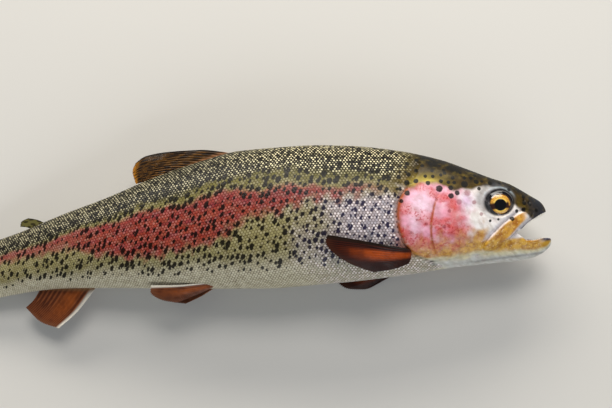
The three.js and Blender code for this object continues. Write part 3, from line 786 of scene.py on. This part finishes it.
def wet_material(name, group, bump, coat, coat_roughness):
    """A wet surface that takes its colour, roughness and height from a node group."""
    material = bpy.data.materials.new(name)
    material.use_nodes = True
    tree = material.node_tree
    shader = tree.nodes["Principled BSDF"]
    shader.inputs["Coat Weight"].default_value = coat
    shader.inputs["Coat Roughness"].default_value = coat_roughness
    shader.inputs["Specular IOR Level"].default_value = 0.12
    marks = tree.nodes.new("ShaderNodeGroup")
    marks.node_tree = group
    relief = tree.nodes.new("ShaderNodeBump")
    relief.inputs["Strength"].default_value = bump
    relief.inputs["Distance"].default_value = 0.3 * MM
    for giver, taker, socket_name in ((marks, shader, "Base Color"), (marks, shader, "Roughness"),
                                      (marks, relief, "Height"), (relief, shader, "Normal")):
        tree.links.new(giver.outputs[socket_name], taker.inputs[socket_name])
    return material


def vertex_places(piece):
    """A piece's vertices in the fish's own millimetres."""
    places = np.empty(len(piece.data.vertices) * 3, np.float32)
    piece.data.vertices.foreach_get("co", places)
    return places.reshape(-1, 3) / MM - np.array(fish_origin)


mark_hide(skin, vertex_places(skin))
skin.data.materials.append(wet_material("skin_wet", hide_marks, 0.45, 0.18, 0.28))
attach(skin, "root")
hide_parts("head", "lower_jaw", "upper_jaw_right", "upper_jaw_left", "gill_cover_right",
            "gill_cover_left", "trunk", "tail_stalk")


# The scales are thin horny shingles, rooted in the hide in rows that follow the lateral line, each
# under the one in front. A scale is 3.7 mm long, and its free rear edge stands 0.14 mm proud.
# The coat has three pieces on each flank, from the shoulder to the root of the tail fin.
scale_pitch, row_pitch = 1.95, 1.58
scale_length, scale_half_width = 3.7, 1.4
root_height, tip_height, dome_height = -0.38, 0.14, 0.1
first_row, last_row, first_root = -52, 61, 50
pieces_per_flank = 3
lateral_line = smooth_line([
    (first_root, 0.36), (94, 0.385), (142, 0.4), (211, 0.45), (300, 0.46), (body_length, 0.5)])
outline = np.array([
    (0, 0.5), (0.3, 0.92), (0.6, 1), (0.83, 0.78), (0.96, 0.42), (1, 0), (0.96, -0.42), (0.83, -0.78),
    (0.6, -1), (0.3, -0.92), (0, -0.5)])
shape = np.vstack([outline, outline * 0.6 + (0.24, 0), [(0.58, 0)]])
corners = len(outline)
raised = np.r_[np.zeros(corners), np.full(corners, 0.75), 1.0] * dome_height
ring = np.arange(corners)
following = np.roll(ring, -1)
shingle = np.vstack([
    np.stack([ring, following, following + corners], -1),
    np.stack([ring, following + corners, ring + corners], -1),
    np.stack([ring + corners, following + corners, np.full(corners, 2 * corners)], -1),
    np.stack([np.zeros(corners - 2, int), ring[2:], ring[1:-1]], -1)])


def scale_size(station):
    """Scales get smaller along the tail stalk."""
    return 1 - 0.26 * ramp(station, 230, body_length)


run = np.linspace(first_root, body_length - 1.5, 800)
run_count = np.concatenate([[0], np.cumsum(np.diff(run) / (scale_pitch * scale_size(run[1:])))])


def scale_roots(side):
    """Station, arc and half girth of every scale of one flank, behind the head only."""
    overrun = 1.1 if side > 0 else -0.7  # the right flank's rows cross the middle lines of back and belly
    roots = []
    for row in range(first_row, last_row + 1):
        count = np.arange(0, run_count[-1]) + 0.5 * (row % 2)
        station = np.interp(count, run_count, run)
        line_arc = table_value(table_arcs, station, lateral_line(station))
        arc = line_arc + row * row_pitch * scale_size(station)
        girth = half_girth(station)
        keep = (arc > -overrun) & (arc < girth + overrun)
        roots.append(np.stack([station, arc, girth], -1)[keep])
    roots = np.vstack(roots)
    angle = table_value(share_angles, roots[:, 0], roots[:, 1] / roots[:, 2])
    where = body_point(roots[:, 0], angle, 0)
    shown = path_distance(roots[:, 0] - 1.2, where[:, 1], behind_head, closed=True) < 0
    return roots[shown]


def root_chart(root_station, root_arc, side, u, v):
    """Each scale's own small patch of the UV map, at its root's place on the unrolled hide."""
    chart_start, chart_length, chart_height = -5, 470, 240
    patch_length, patch_height = 0.003, 0.0015
    across = (root_station - chart_start)[:, None] / chart_length + (u - 0.5) * patch_length
    up = 0.5 + side * root_arc[:, None] / chart_height + v * patch_height
    return np.stack([across, up], -1).reshape(-1, 2).astype(np.float32)


coat_material = wet_material("scales_wet", hide_marks, 0.15, 0.06, 0.2)
dice = np.random.default_rng(7)
for side, side_name in ((1, "right"), (-1, "left")):
    all_roots = scale_roots(side)
    order = np.argsort(all_roots[:, 0])
    for number, part in enumerate(np.array_split(all_roots[order], pieces_per_flank)):
        root_station, root_arc, root_girth = part.T
        count = len(part)
        u = np.tile(shape[:, 0], (count, 1))
        v = np.tile(shape[:, 1], (count, 1))

        # each scale laid out flat round its root, with its own size and a slight turn
        size = scale_size(root_station)[:, None] * dice.normal(1, 0.04, (count, 1))
        spin = dice.normal(0, 0.06, (count, 1))
        along = (u - 0.45) * scale_length * size
        across = v * scale_half_width * size
        station = root_station[:, None] + along * np.cos(spin) - across * np.sin(spin)
        arc = root_arc[:, None] + along * np.sin(spin) + across * np.cos(spin)
        root_line = table_value(table_arcs, root_station, lateral_line(root_station))
        arc = arc + table_value(table_arcs, station, lateral_line(station)) - root_line[:, None]
        station = np.minimum(station, body_length)

        # bent round the body, also past the middle lines of back and belly
        share = arc / half_girth(station)
        angle = table_value(share_angles, station, np.abs(share)) * np.where(share < 0, -1, 1)
        angle = np.where(share > 1, 2 * pi - table_value(share_angles, station, 2 - share), angle)
        points = body_point(station, side * angle, 0)
        ahead = body_point(station + 0.2, side * angle, 0)
        around = body_point(station, side * angle + 0.01, 0)
        normal = np.cross(ahead - points, around - points)
        normal = normal / np.linalg.norm(normal, axis=-1, keepdims=True)

        # lifted from root to tip, the foremost ones sunk a little behind the head, none in the floor
        lift = root_height + (tip_height - root_height) * u + raised
        lift = lift + dice.normal(0, 0.035, (count, 1)) * u + dice.normal(0, 0.03, (count, 1)) * v
        root_angle = table_value(share_angles, root_station, root_arc / root_girth)
        root_level = body_point(root_station, root_angle, 0)[:, 1]
        from_head = -path_distance(root_station, root_level, behind_head, closed=True)
        lift = lift - 0.25 * (1 - ramp(from_head, 0, 6))[:, None]
        points = points + normal * lift[..., None]
        points[..., 2] = np.maximum(points[..., 2], -floor_drop + 0.02 + raised + 0.1 * u)

        faces = (shingle[None] + np.arange(count)[:, None, None] * len(shape)).reshape(-1, 3)
        coat = mesh_object(f"scales_{side_name}_{number + 1}", points.reshape(-1, 3), faces)
        luck = np.tile(dice.uniform(0.01, 1, (count, 1)), (1, len(shape)))
        keep_vectors(coat, "scale_place", u, v, luck)
        spot_s = 0.7 * station + 0.3 * (root_station[:, None] + 0.3 * scale_length)
        spot_arc = side * (0.7 * arc + 0.3 * root_arc[:, None])
        mark_hide(coat, points.reshape(-1, 3), (spot_s.ravel(), spot_arc.ravel()))
        chart = root_chart(root_station, root_arc, side, u, v)
        corner_vertices = np.empty(len(coat.data.loops), np.int32)
        coat.data.loops.foreach_get("vertex_index", corner_vertices)
        coat.data.uv_layers.new(name="OFBake").uv.foreach_set("vector", chart[corner_vertices].ravel())
        coat.data.materials.append(coat_material)
        turn_outwards(coat)
        bpy.ops.object.shade_smooth_by_angle(angle=radians(50))
        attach(coat, "root")


# The eyes are glassy balls set in their orbits and a little flattened in front. The iris is brown,
# with gold above, below and before the black pupil, and both stand slightly proud. The pupil is
# 7 mm across and sits low and forward in the ball.
eye_marks = surface_group("eye_marks")
w = Wiring(eye_marks)
iris = w.attribute("iris_place")
iris_x, iris_y, _ = w.split(iris)
radius = w.length(iris_x, iris_y)
turned = w.math("ARCTAN2", iris_y, iris_x)
fibre_place = w.node("CombineXYZ", {0: w.times(turned, 3.0), 1: w.times(radius, 0.5)})[0]
fibres = w.noise(fibre_place, 5.0, 4.0)
patches = w.noise(iris, 300.0)
gold = w.mix(w.ramp(fibres, 0.35, 0.65), tone(0.6, 0.38, 0.14), tone(0.92, 0.7, 0.3))
gold = w.mix(w.ramp(radius, 0.0049, 0.0041, 0.0, 0.7), gold, tone(0.98, 0.82, 0.4))
above = w.ramp(w.times_plus(patches, 0.0016, iris_y), 0.0014, 0.003)
below = w.times(w.ramp(iris_y, -0.0019, -0.003), w.ramp(radius, 0.0058, 0.0051))
in_front = w.times(w.ramp(iris_x, 0.001, -0.002), w.ramp(iris_y, -0.0018, 0.0002))
from_ring = w.math("ABSOLUTE", w.minus(radius, 0.0055))
in_front = w.times(in_front, w.ramp(from_ring, 0.0007, 0.0003))
golden = w.math("MAXIMUM", w.math("MAXIMUM", above, below), in_front)
colour = w.mix(golden, tone(0.2, 0.11, 0.09), gold)
outer_ring = w.ramp(w.times_plus(patches, 0.001, radius), 0.0062, 0.0069)
colour = w.mix(outer_ring, colour, tone(0.22, 0.14, 0.1))
in_pupil = w.ramp(radius, 0.0037, 0.0034)
colour = w.mix(in_pupil, colour, tone(0.02, 0.02, 0.05))
outside_iris = w.ramp(radius, 0.0066, 0.0074)
colour = w.mix(outside_iris, colour, tone(0.05, 0.05, 0.08))
outside_pupil = w.ramp(radius, 0.0038, 0.0043)
w.put_out(colour, w.ramp(fibres, 0.0, 1.0, 0.08, 0.16), w.times(fibres, outside_pupil))
eye_material = wet_material("eye_glass", eye_marks, 0.1, 1.0, 0.03)
iris_centre = (28.8, -4.4)


def place_vertices(piece, points):
    """Moves a piece's vertices to places in the fish's own millimetres."""
    piece.data.vertices.foreach_set("co", ((points + np.array(fish_origin)) * MM).ravel())


for side, side_name in ((1, "right"), (-1, "left")):
    bpy.ops.mesh.primitive_uv_sphere_add(segments=96, ring_count=64, radius=1)
    eye = bpy.context.object
    eye.name = f"eyeball_{side_name}"
    ball = np.array([v.co for v in eye.data.vertices])
    ball[:, 2] = np.sign(ball[:, 2]) * np.abs(ball[:, 2]) ** 0.62
    points = ball * (eye_radii[0] - 0.15, eye_radii[1] - 0.15, eye_radii[2] - 0.3)
    points = points + (-eye_centre[0], eye_centre[1], side * eye_centre[2])
    iris_x, iris_y = -points[:, 0] - iris_centre[0], points[:, 1] - iris_centre[1]
    off = np.hypot(iris_x, iris_y)
    swell = 0.3 * ridge(off - 4.9, 1.1) + 0.2 * (1 - ramp(off, 2.8, 4.0)) - 0.3 * ridge(off - 7.2, 0.8)
    points[:, 2] += side * (ball[:, 2] * side > 0) * swell
    place_vertices(eye, points)
    keep_vectors(eye, "iris_place", iris_x * MM, iris_y * MM, np.zeros(len(off)))
    eye.data.materials.append(eye_material)
    bpy.ops.object.shade_smooth()
    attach(eye, "root")
    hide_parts(f"eye_{side_name}")


# The tongue is a soft wet pad on the floor of the mouth, with a furrow along its middle.
# It is 20 mm long and grows out of the throat.
bpy.ops.mesh.primitive_uv_sphere_add(segments=48, ring_count=32, radius=1)
tongue = bpy.context.object
tongue.name = "tongue_pad"
ball = np.array([v.co for v in tongue.data.vertices])
points = ball * (10, 3, 4.6) + (-17, -29.4, 0)
points[:, 1] += 0.5 * (ball[:, 1] > 0) * (1 - ridge(ball[:, 2], 0.25))
place_vertices(tongue, points)
bpy.ops.object.shade_smooth()
flesh_marks = surface_group("flesh_marks")
w = Wiring(flesh_marks)
solid_place = w.node("TexCoord")["Object"]
blotch = w.noise(solid_place, 350.0, 3.0)
flesh = w.mix(w.ramp(blotch, 0.35, 0.65), tone(0.85, 0.78, 0.72), tone(0.55, 0.42, 0.4))
w.put_out(flesh, w.ramp(blotch, 0.2, 0.8, 0.2, 0.4), w.noise(solid_place, 1800.0))
tongue.data.materials.append(wet_material("mouth_flesh", flesh_marks, 0.4, 0.7, 0.1))
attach(tongue, "root")
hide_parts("tongue")


# The teeth are small enamelled hooks that lean backward, half a millimetre to a millimetre high.
# They are set in a single row on each side of both jaws.
upper_gape = smooth_line([
    (0, -11.6), (1.4, -12), (4, -13.2), (7, -14.2), (10, -15.2), (13.4, -17.2), (16.6, -19.8)])
lower_gape = smooth_line([(0, -27), (3, -26.5), (9, -27.4), (14.4, -27.2), (17.4, -24.8)])
tooth_radius, tooth_sides, tooth_lean, inside_lip = 0.24, 6, 0.35, 1.1
upper_row = (upper_gape, -1, np.linspace(1.2, 15.5, 13))
lower_row = (lower_gape, 1, np.linspace(1.0, 14.5, 12))
tooth_points, tooth_faces = [], []
for line, up, stations in (upper_row, lower_row):
    for side in (1, -1):
        for s in stations:
            y = float(line(s))
            reach = side_reach(s, y, 0.98) - inside_lip
            height, start = dice.uniform(0.5, 1.0), len(tooth_points)
            for corner in np.linspace(0, 2 * pi, tooth_sides, endpoint=False):
                tooth_points.append((-s + tooth_radius * np.cos(corner), y - up * 0.5,
                                     side * (reach + tooth_radius * np.sin(corner))))
            tooth_points.append((-s - tooth_lean, y + up * height, side * (reach - 0.2)))
            tooth_faces += [[start + i, start + (i + 1) % tooth_sides, start + tooth_sides]
                            for i in range(tooth_sides)]
            tooth_faces.append([start + i for i in reversed(range(tooth_sides))])
teeth = mesh_object("teeth", tooth_points, tooth_faces)


def plain_material(name, colour, roughness):
    material = bpy.data.materials.new(name)
    material.use_nodes = True
    shader = material.node_tree.nodes["Principled BSDF"]
    shader.inputs["Base Color"].default_value = colour
    shader.inputs["Roughness"].default_value = roughness
    return material


teeth.data.materials.append(plain_material("tooth_enamel", tone(0.9, 0.87, 0.78), 0.25))
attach(teeth, "root")


# The fins are soft rays, jointed and split towards the tip, in a thin web of skin. Each is a closed
# sheet between four border lines, rooted in the body. Over a ray it is 1 mm thick at the root and
# half that at the tip, and the web between the rays is thinner.
fin_colours = ("Ray", "Web", "Edge", "Front", "Streak", "Root")
fin_marks = surface_group("fin_marks", fin_colours, ("Spots", "Spot Columns", "Spot Rows"))
w = Wiring(fin_marks)
given = fin_marks.nodes.new("NodeGroupInput").outputs
from_front, from_root, on_ray = w.split(w.attribute("fin_place"))
blotch = w.noise(w.node("TexCoord")["Object"], 220.0, 3.0)
colour = w.mix(w.ramp(on_ray, 0.25, 0.7), given["Web"], given["Ray"])
streak = w.times(w.ramp(from_front, 0.12, 0.25), w.ramp(from_front, 0.62, 0.35))
streak = w.times(streak, w.ramp(from_root, 0.95, 0.45, 0.0, 0.9))
colour = w.mix(streak, colour, given["Streak"])
colour = w.mix(w.ramp(blotch, 0.4, 0.7, 0.0, 0.45), colour, tone(0.55, 0.5, 0.5), "MULTIPLY")
colour = w.mix(w.ramp(from_root, 0.86, 1.0, 0.0, 0.8), colour, given["Edge"])
colour = w.mix(w.ramp(from_front, 0.1, 0.02), colour, given["Front"])
colour = w.mix(w.ramp(from_root, 0.17, 0.05), colour, given["Root"])
spot_grid = w.node("CombineXYZ", {0: w.times(from_front, given["Spot Columns"]),
                                  1: w.times(from_root, given["Spot Rows"])})[0]
cells = w.node("TexVoronoi", {"Vector": spot_grid, "Scale": 1.0, "Randomness": 0.6}, voronoi_dimensions="2D")
dot = w.times(w.ramp(cells["Distance"], 0.4, 0.28), given["Spots"])
dot = w.times(dot, w.ramp(from_root, 0.05, 0.16))
colour = w.mix(dot, colour, tone(0.1, 0.08, 0.07))
joints = w.math("SINE", w.times(from_root, 220.0))
height = w.times(w.ramp(joints, 0.6, 1.0), w.times(on_ray, -0.5))
w.put_out(colour, w.ramp(blotch, 0.2, 0.8, 0.3, 0.5), height)


def fin_material(name, colours, spot_share=0.0, spot_columns=10, spot_rows=6):
    """Colours are those of the ray, the web, the edge, the front, the streak and the root."""
    material = wet_material(name, fin_marks, 0.6, 0.2, 0.2)
    group = next(n for n in material.node_tree.nodes if n.type == "GROUP")
    for socket_name, colour in zip(fin_colours, colours):
        group.inputs[socket_name].default_value = tone(*colour)
    group.inputs["Spots"].default_value = spot_share
    group.inputs["Spot Columns"].default_value = spot_columns
    group.inputs["Spot Rows"].default_value = spot_rows
    return material


def along_path(path, t):
    """Points at shares of the length of a smooth path."""
    path = np.array(path, float)
    lengths = np.r_[0, np.cumsum(np.linalg.norm(np.diff(path, axis=0), axis=1))]
    lines = [smooth_line(list(zip(lengths, values))) for values in path.T]
    return np.stack([line(t * lengths[-1]) for line in lines], -1)


def in_plane(border):
    """A border's points, with those of two numbers set into the fish's middle plane."""
    return [p if len(p) == 3 else (-p[0], p[1], float(middle_plane(p[0]))) for p in border]


def fin_sheet(name, node, material, front, rear, root, tip, rays, bow=0.0, web=0.22, ray=0.5, rows=40):
    """front and rear run from root to tip; root and tip run between their ends, from front to rear."""
    front, rear, root, tip = (in_plane(border) for border in (front, rear, root, tip))
    root = [front[0], *root, rear[0]]
    tip = [front[-1], *tip, rear[-1]]
    columns = rays * 8 + 1
    t, r = np.meshgrid(np.linspace(0, 1, columns), np.linspace(0, 1, rows), indexing="ij")

    # how far each point lies on a ray: single near the root, split in two towards the tip
    split = ramp(r, 0.4, 0.65)
    single = np.abs(np.cos(pi * rays * t)) ** 3
    double = np.abs(np.cos(2 * pi * rays * t)) ** 3
    on_ray = single * (1 - split) + double * split * 0.85
    notch = 0.018 * (1 - on_ray) * ramp(r, 0.9, 1)
    on_ray_or_front = np.maximum(on_ray, 1 - ramp(t, 0, 0.03))

    # the middle surface between the four border lines
    r1 = r - notch * r
    f, b = along_path(front, r1), along_path(rear, r1)
    a, c = along_path(root, t), along_path(tip, t)
    a0, a1, c0, c1 = (np.array(p, float) for p in (front[0], rear[0], front[-1], rear[-1]))
    tt, rr = t[..., None], r1[..., None]
    middle = f * (1 - tt) + b * tt + a * (1 - rr) + c * rr
    middle = middle - ((1 - tt) * (1 - rr) * a0 + tt * (1 - rr) * a1 + (1 - tt) * rr * c0 + tt * rr * c1)
    normal = np.cross(np.gradient(middle, axis=0), np.gradient(middle, axis=1))
    normal = normal / (np.linalg.norm(normal, axis=-1, keepdims=True) + 1e-9)
    if normal[..., 2].mean() < 0:
        normal = -normal
    middle = middle + normal * (bow * np.sin(pi * t) * np.sin(pi * r))[..., None]

    # its thickness, over rays and web
    half = (web + (ray - web) * on_ray_or_front) * (1 - 0.5 * r) * np.where(r > 0.97, 0.6, 1)
    half = half * ramp(t, -0.02, 0.012) * ramp(1 - t, -0.02, 0.012)
    upper, lower = middle + normal * half[..., None], middle - normal * half[..., None]
    lower[..., 2] = np.maximum(lower[..., 2], -floor_drop + 0.05)
    upper[..., 2] = np.maximum(upper[..., 2], -floor_drop + 0.3)

    index = np.arange(columns * rows).reshape(columns, rows)
    quads = np.stack([index[:-1, :-1], index[1:, :-1], index[1:, 1:], index[:-1, 1:]], -1).reshape(-1, 4)
    rim = np.r_[index[:-1, 0], index[-1, :-1], index[:0:-1, -1], index[0, :0:-1]]
    next_rim, total = np.roll(rim, -1), columns * rows
    sides = np.stack([next_rim, rim, rim + total, next_rim + total], -1)
    faces = np.vstack([quads, quads[:, ::-1] + total, sides])
    fin = mesh_object(name, np.vstack([upper.reshape(-1, 3), lower.reshape(-1, 3)]), faces)
    keep_vectors(fin, "fin_place", *(np.tile(values.ravel(), 2) for values in (t, r, on_ray_or_front)))
    fin.data.materials.append(material)
    turn_outwards(fin)
    bpy.ops.object.shade_smooth_by_angle(angle=radians(60))
    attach(fin, "root")
    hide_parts(node)


def sunk_root(line, first, last, inset):
    """A fin's root, sunk into the back or, with a negative inset, into the belly."""
    return [(s, float(line(s)) - inset) for s in np.linspace(first, last, 9)]


# The back fin is folded halfway down, brown with rows of dark spots and a yellow edge.
dorsal_brown = fin_material("dorsal_fin_skin", (
    (0.5, 0.34, 0.15), (0.17, 0.12, 0.07), (0.76, 0.5, 0.15), (0.16, 0.12, 0.08), (0.36, 0.25, 0.12),
    (0.58, 0.4, 0.27)), 0.9, 15, 6)
back_root = sunk_root(back_line, 190, 241, 1.6)
fin_sheet("fin_dorsal", "dorsal_fin", dorsal_brown,
          [back_root[0], (198, 47.2), (212.8, 50), (236, 51), (249, 49.9), (257, 45.8)],
          [back_root[-1], (249, 33.6), (257.6, 32.4)], back_root[1:-1], [(259.4, 40.4)], 12)

# The adipose fin is a small fatty flap, thicker than the others and almost without rays.
fatty = fin_material("adipose_fin_skin", (
    (0.4, 0.38, 0.22), (0.4, 0.38, 0.22), (0.2, 0.18, 0.12), (0.2, 0.2, 0.15), (0.4, 0.38, 0.22),
    (0.3, 0.28, 0.16)), 0.8, 2.5, 3)
fat_root = sunk_root(back_line, 321, 331, 1.4)
fin_sheet("fin_adipose", "adipose_fin", fatty,
          [fat_root[0], (328, 16), (334, 17.6)], [fat_root[-1], (335.5, 11.6), (340, 12.4)],
          fat_root[1:-1], [(339, 15.6)], 3, rows=20, web=0.42, ray=0.48)

# The anal fin has a pale front edge, as the pelvic fins have.
pale_front = fin_material("belly_fin_skin", (
    (0.5, 0.28, 0.16), (0.34, 0.18, 0.11), (0.42, 0.27, 0.19), (0.85, 0.82, 0.76), (0.56, 0.29, 0.13),
    (0.52, 0.38, 0.26)))
belly_root = sunk_root(belly_line, 289, 328, -1.6)
fin_sheet("fin_anal", "anal_fin", pale_front,
          [belly_root[0], (304, -47), (318, -57)], [belly_root[-1], (334, -37), (340, -41.6)],
          belly_root[1:-1], [(330, -52)], 11)

# The tail fin is a broad, shallow fork with rows of dark spots.
tail_spotted = fin_material("tail_fin_skin", (
    (0.45, 0.39, 0.21), (0.28, 0.25, 0.14), (0.24, 0.2, 0.13), (0.3, 0.27, 0.18), (0.38, 0.33, 0.18),
    (0.34, 0.32, 0.2)), 0.9, 19, 13)
fin_sheet("fin_tail", "caudal_fin", tail_spotted,
          [(387, -1.4), (405, 3.5), (426, 8.2), (447, 10)],
          [(387, -38.4), (405, -46), (428, -58), (456, -66)],
          [(386, -10), (385, -20), (386, -30)],
          [(452, 3), (450, -9), (446, -23), (451, -37), (457.5, -52), (459.5, -60)], 19, rows=56)

# The pectoral and pelvic fins are laid back along the body, those of the left flank under it.
lower_brown = fin_material("lower_fin_skin", (
    (0.26, 0.1, 0.05), (0.14, 0.06, 0.04), (0.24, 0.13, 0.08), (0.13, 0.09, 0.06), (0.66, 0.28, 0.06),
    (0.36, 0.15, 0.1)))
fin_sheet("fin_pectoral_right", "pectoral_fin_right", lower_brown,
          [(-81, -26.6, 15), (-87, -25.6, 21.4), (-96, -23.4, 25.4), (-115, -18, 28), (-134.6, -12.8, 29)],
          [(-83, -33.6, 9), (-88, -35, 14.6), (-97, -37.2, 19.6), (-109, -38, 22)],
          [(-82, -30.4, 12.4)],
          [(-136, -17, 28.6), (-131, -25, 27.5), (-121, -32.4, 25.5)], 13, bow=1.4)
fin_sheet("fin_pectoral_left", "pectoral_fin_left", lower_brown,
          [(-81, -26.6, -15), (-87, -28.4, -20.4), (-100, -33, -24), (-118, -37, -24.2), (-134, -40, -24.4)],
          [(-83, -33.6, -9), (-88, -36.4, -15), (-96, -41.4, -20.5), (-106, -46, -22)],
          [(-82, -30.4, -12.4)],
          [(-133, -44, -24.4), (-126, -48.6, -24.4), (-116, -49.6, -24)], 13, bow=1.0)
fin_sheet("fin_pelvic_right", "pelvic_fin_right", pale_front,
          [(-202, -35.4, 8.6), (-226, -35.4, 10.4), (-249, -34, 10)],
          [(-210, -38, 3), (-222, -42.6, 4.6), (-235, -46.4, 5)],
          [(-206, -37, 6.4)], [(-250, -38, 9), (-244, -43.6, 7)], 9, bow=0.8)
fin_sheet("fin_pelvic_left", "pelvic_fin_left", pale_front,
          [(-202, -35.4, -9), (-226, -37, -18.6), (-248, -38, -22)],
          [(-210, -38, -6), (-222, -44, -13.4), (-234, -48.4, -17)],
          [(-206, -37, -8)], [(-249, -42, -21.4), (-243, -46.6, -20)], 9, bow=0.8)


# The studio is a plain pale floor under three soft lamps: a large warm one beyond the back, a small
# one above the head and a large cool one beyond the belly. Their places and sizes are in metres.
bpy.ops.mesh.primitive_plane_add(size=16, location=(0, 0, 0))
floor = bpy.context.object
floor.name = "floor"
floor.data.materials.append(plain_material("floor_paint", tone(0.8, 0.79, 0.77), 0.8))

for place, size, watts, tint in (
        ((-0.11, 2.2, 0.99), (2.86, 0.66), 77.0, (1, 0.95, 0.86)),
        ((0.3, 0.75, 1.0), (0.7, 0.4), 8.0, (1, 0.97, 0.93)),
        ((0.66, -1.98, 1.1), (2.64, 1.1), 29.0, (0.9, 0.95, 1))):
    bpy.ops.object.light_add(type="AREA", location=place)
    lamp = bpy.context.object
    lamp.data.shape = "RECTANGLE"
    lamp.data.size, lamp.data.size_y = size
    lamp.data.energy = watts
    lamp.data.color = tint
    lamp.rotation_euler = (-Vector(place)).to_track_quat("-Z", "Y").to_euler()
surroundings, surrounding_light = (0.8, 0.85, 0.9, 1), 0.2
world = bpy.data.worlds.new("studio")
world.use_nodes = True
world.node_tree.nodes["Background"].inputs["Color"].default_value = surroundings
world.node_tree.nodes["Background"].inputs["Strength"].default_value = surrounding_light
bpy.context.scene.world = world
bpy.context.scene.view_settings.view_transform = "Standard"
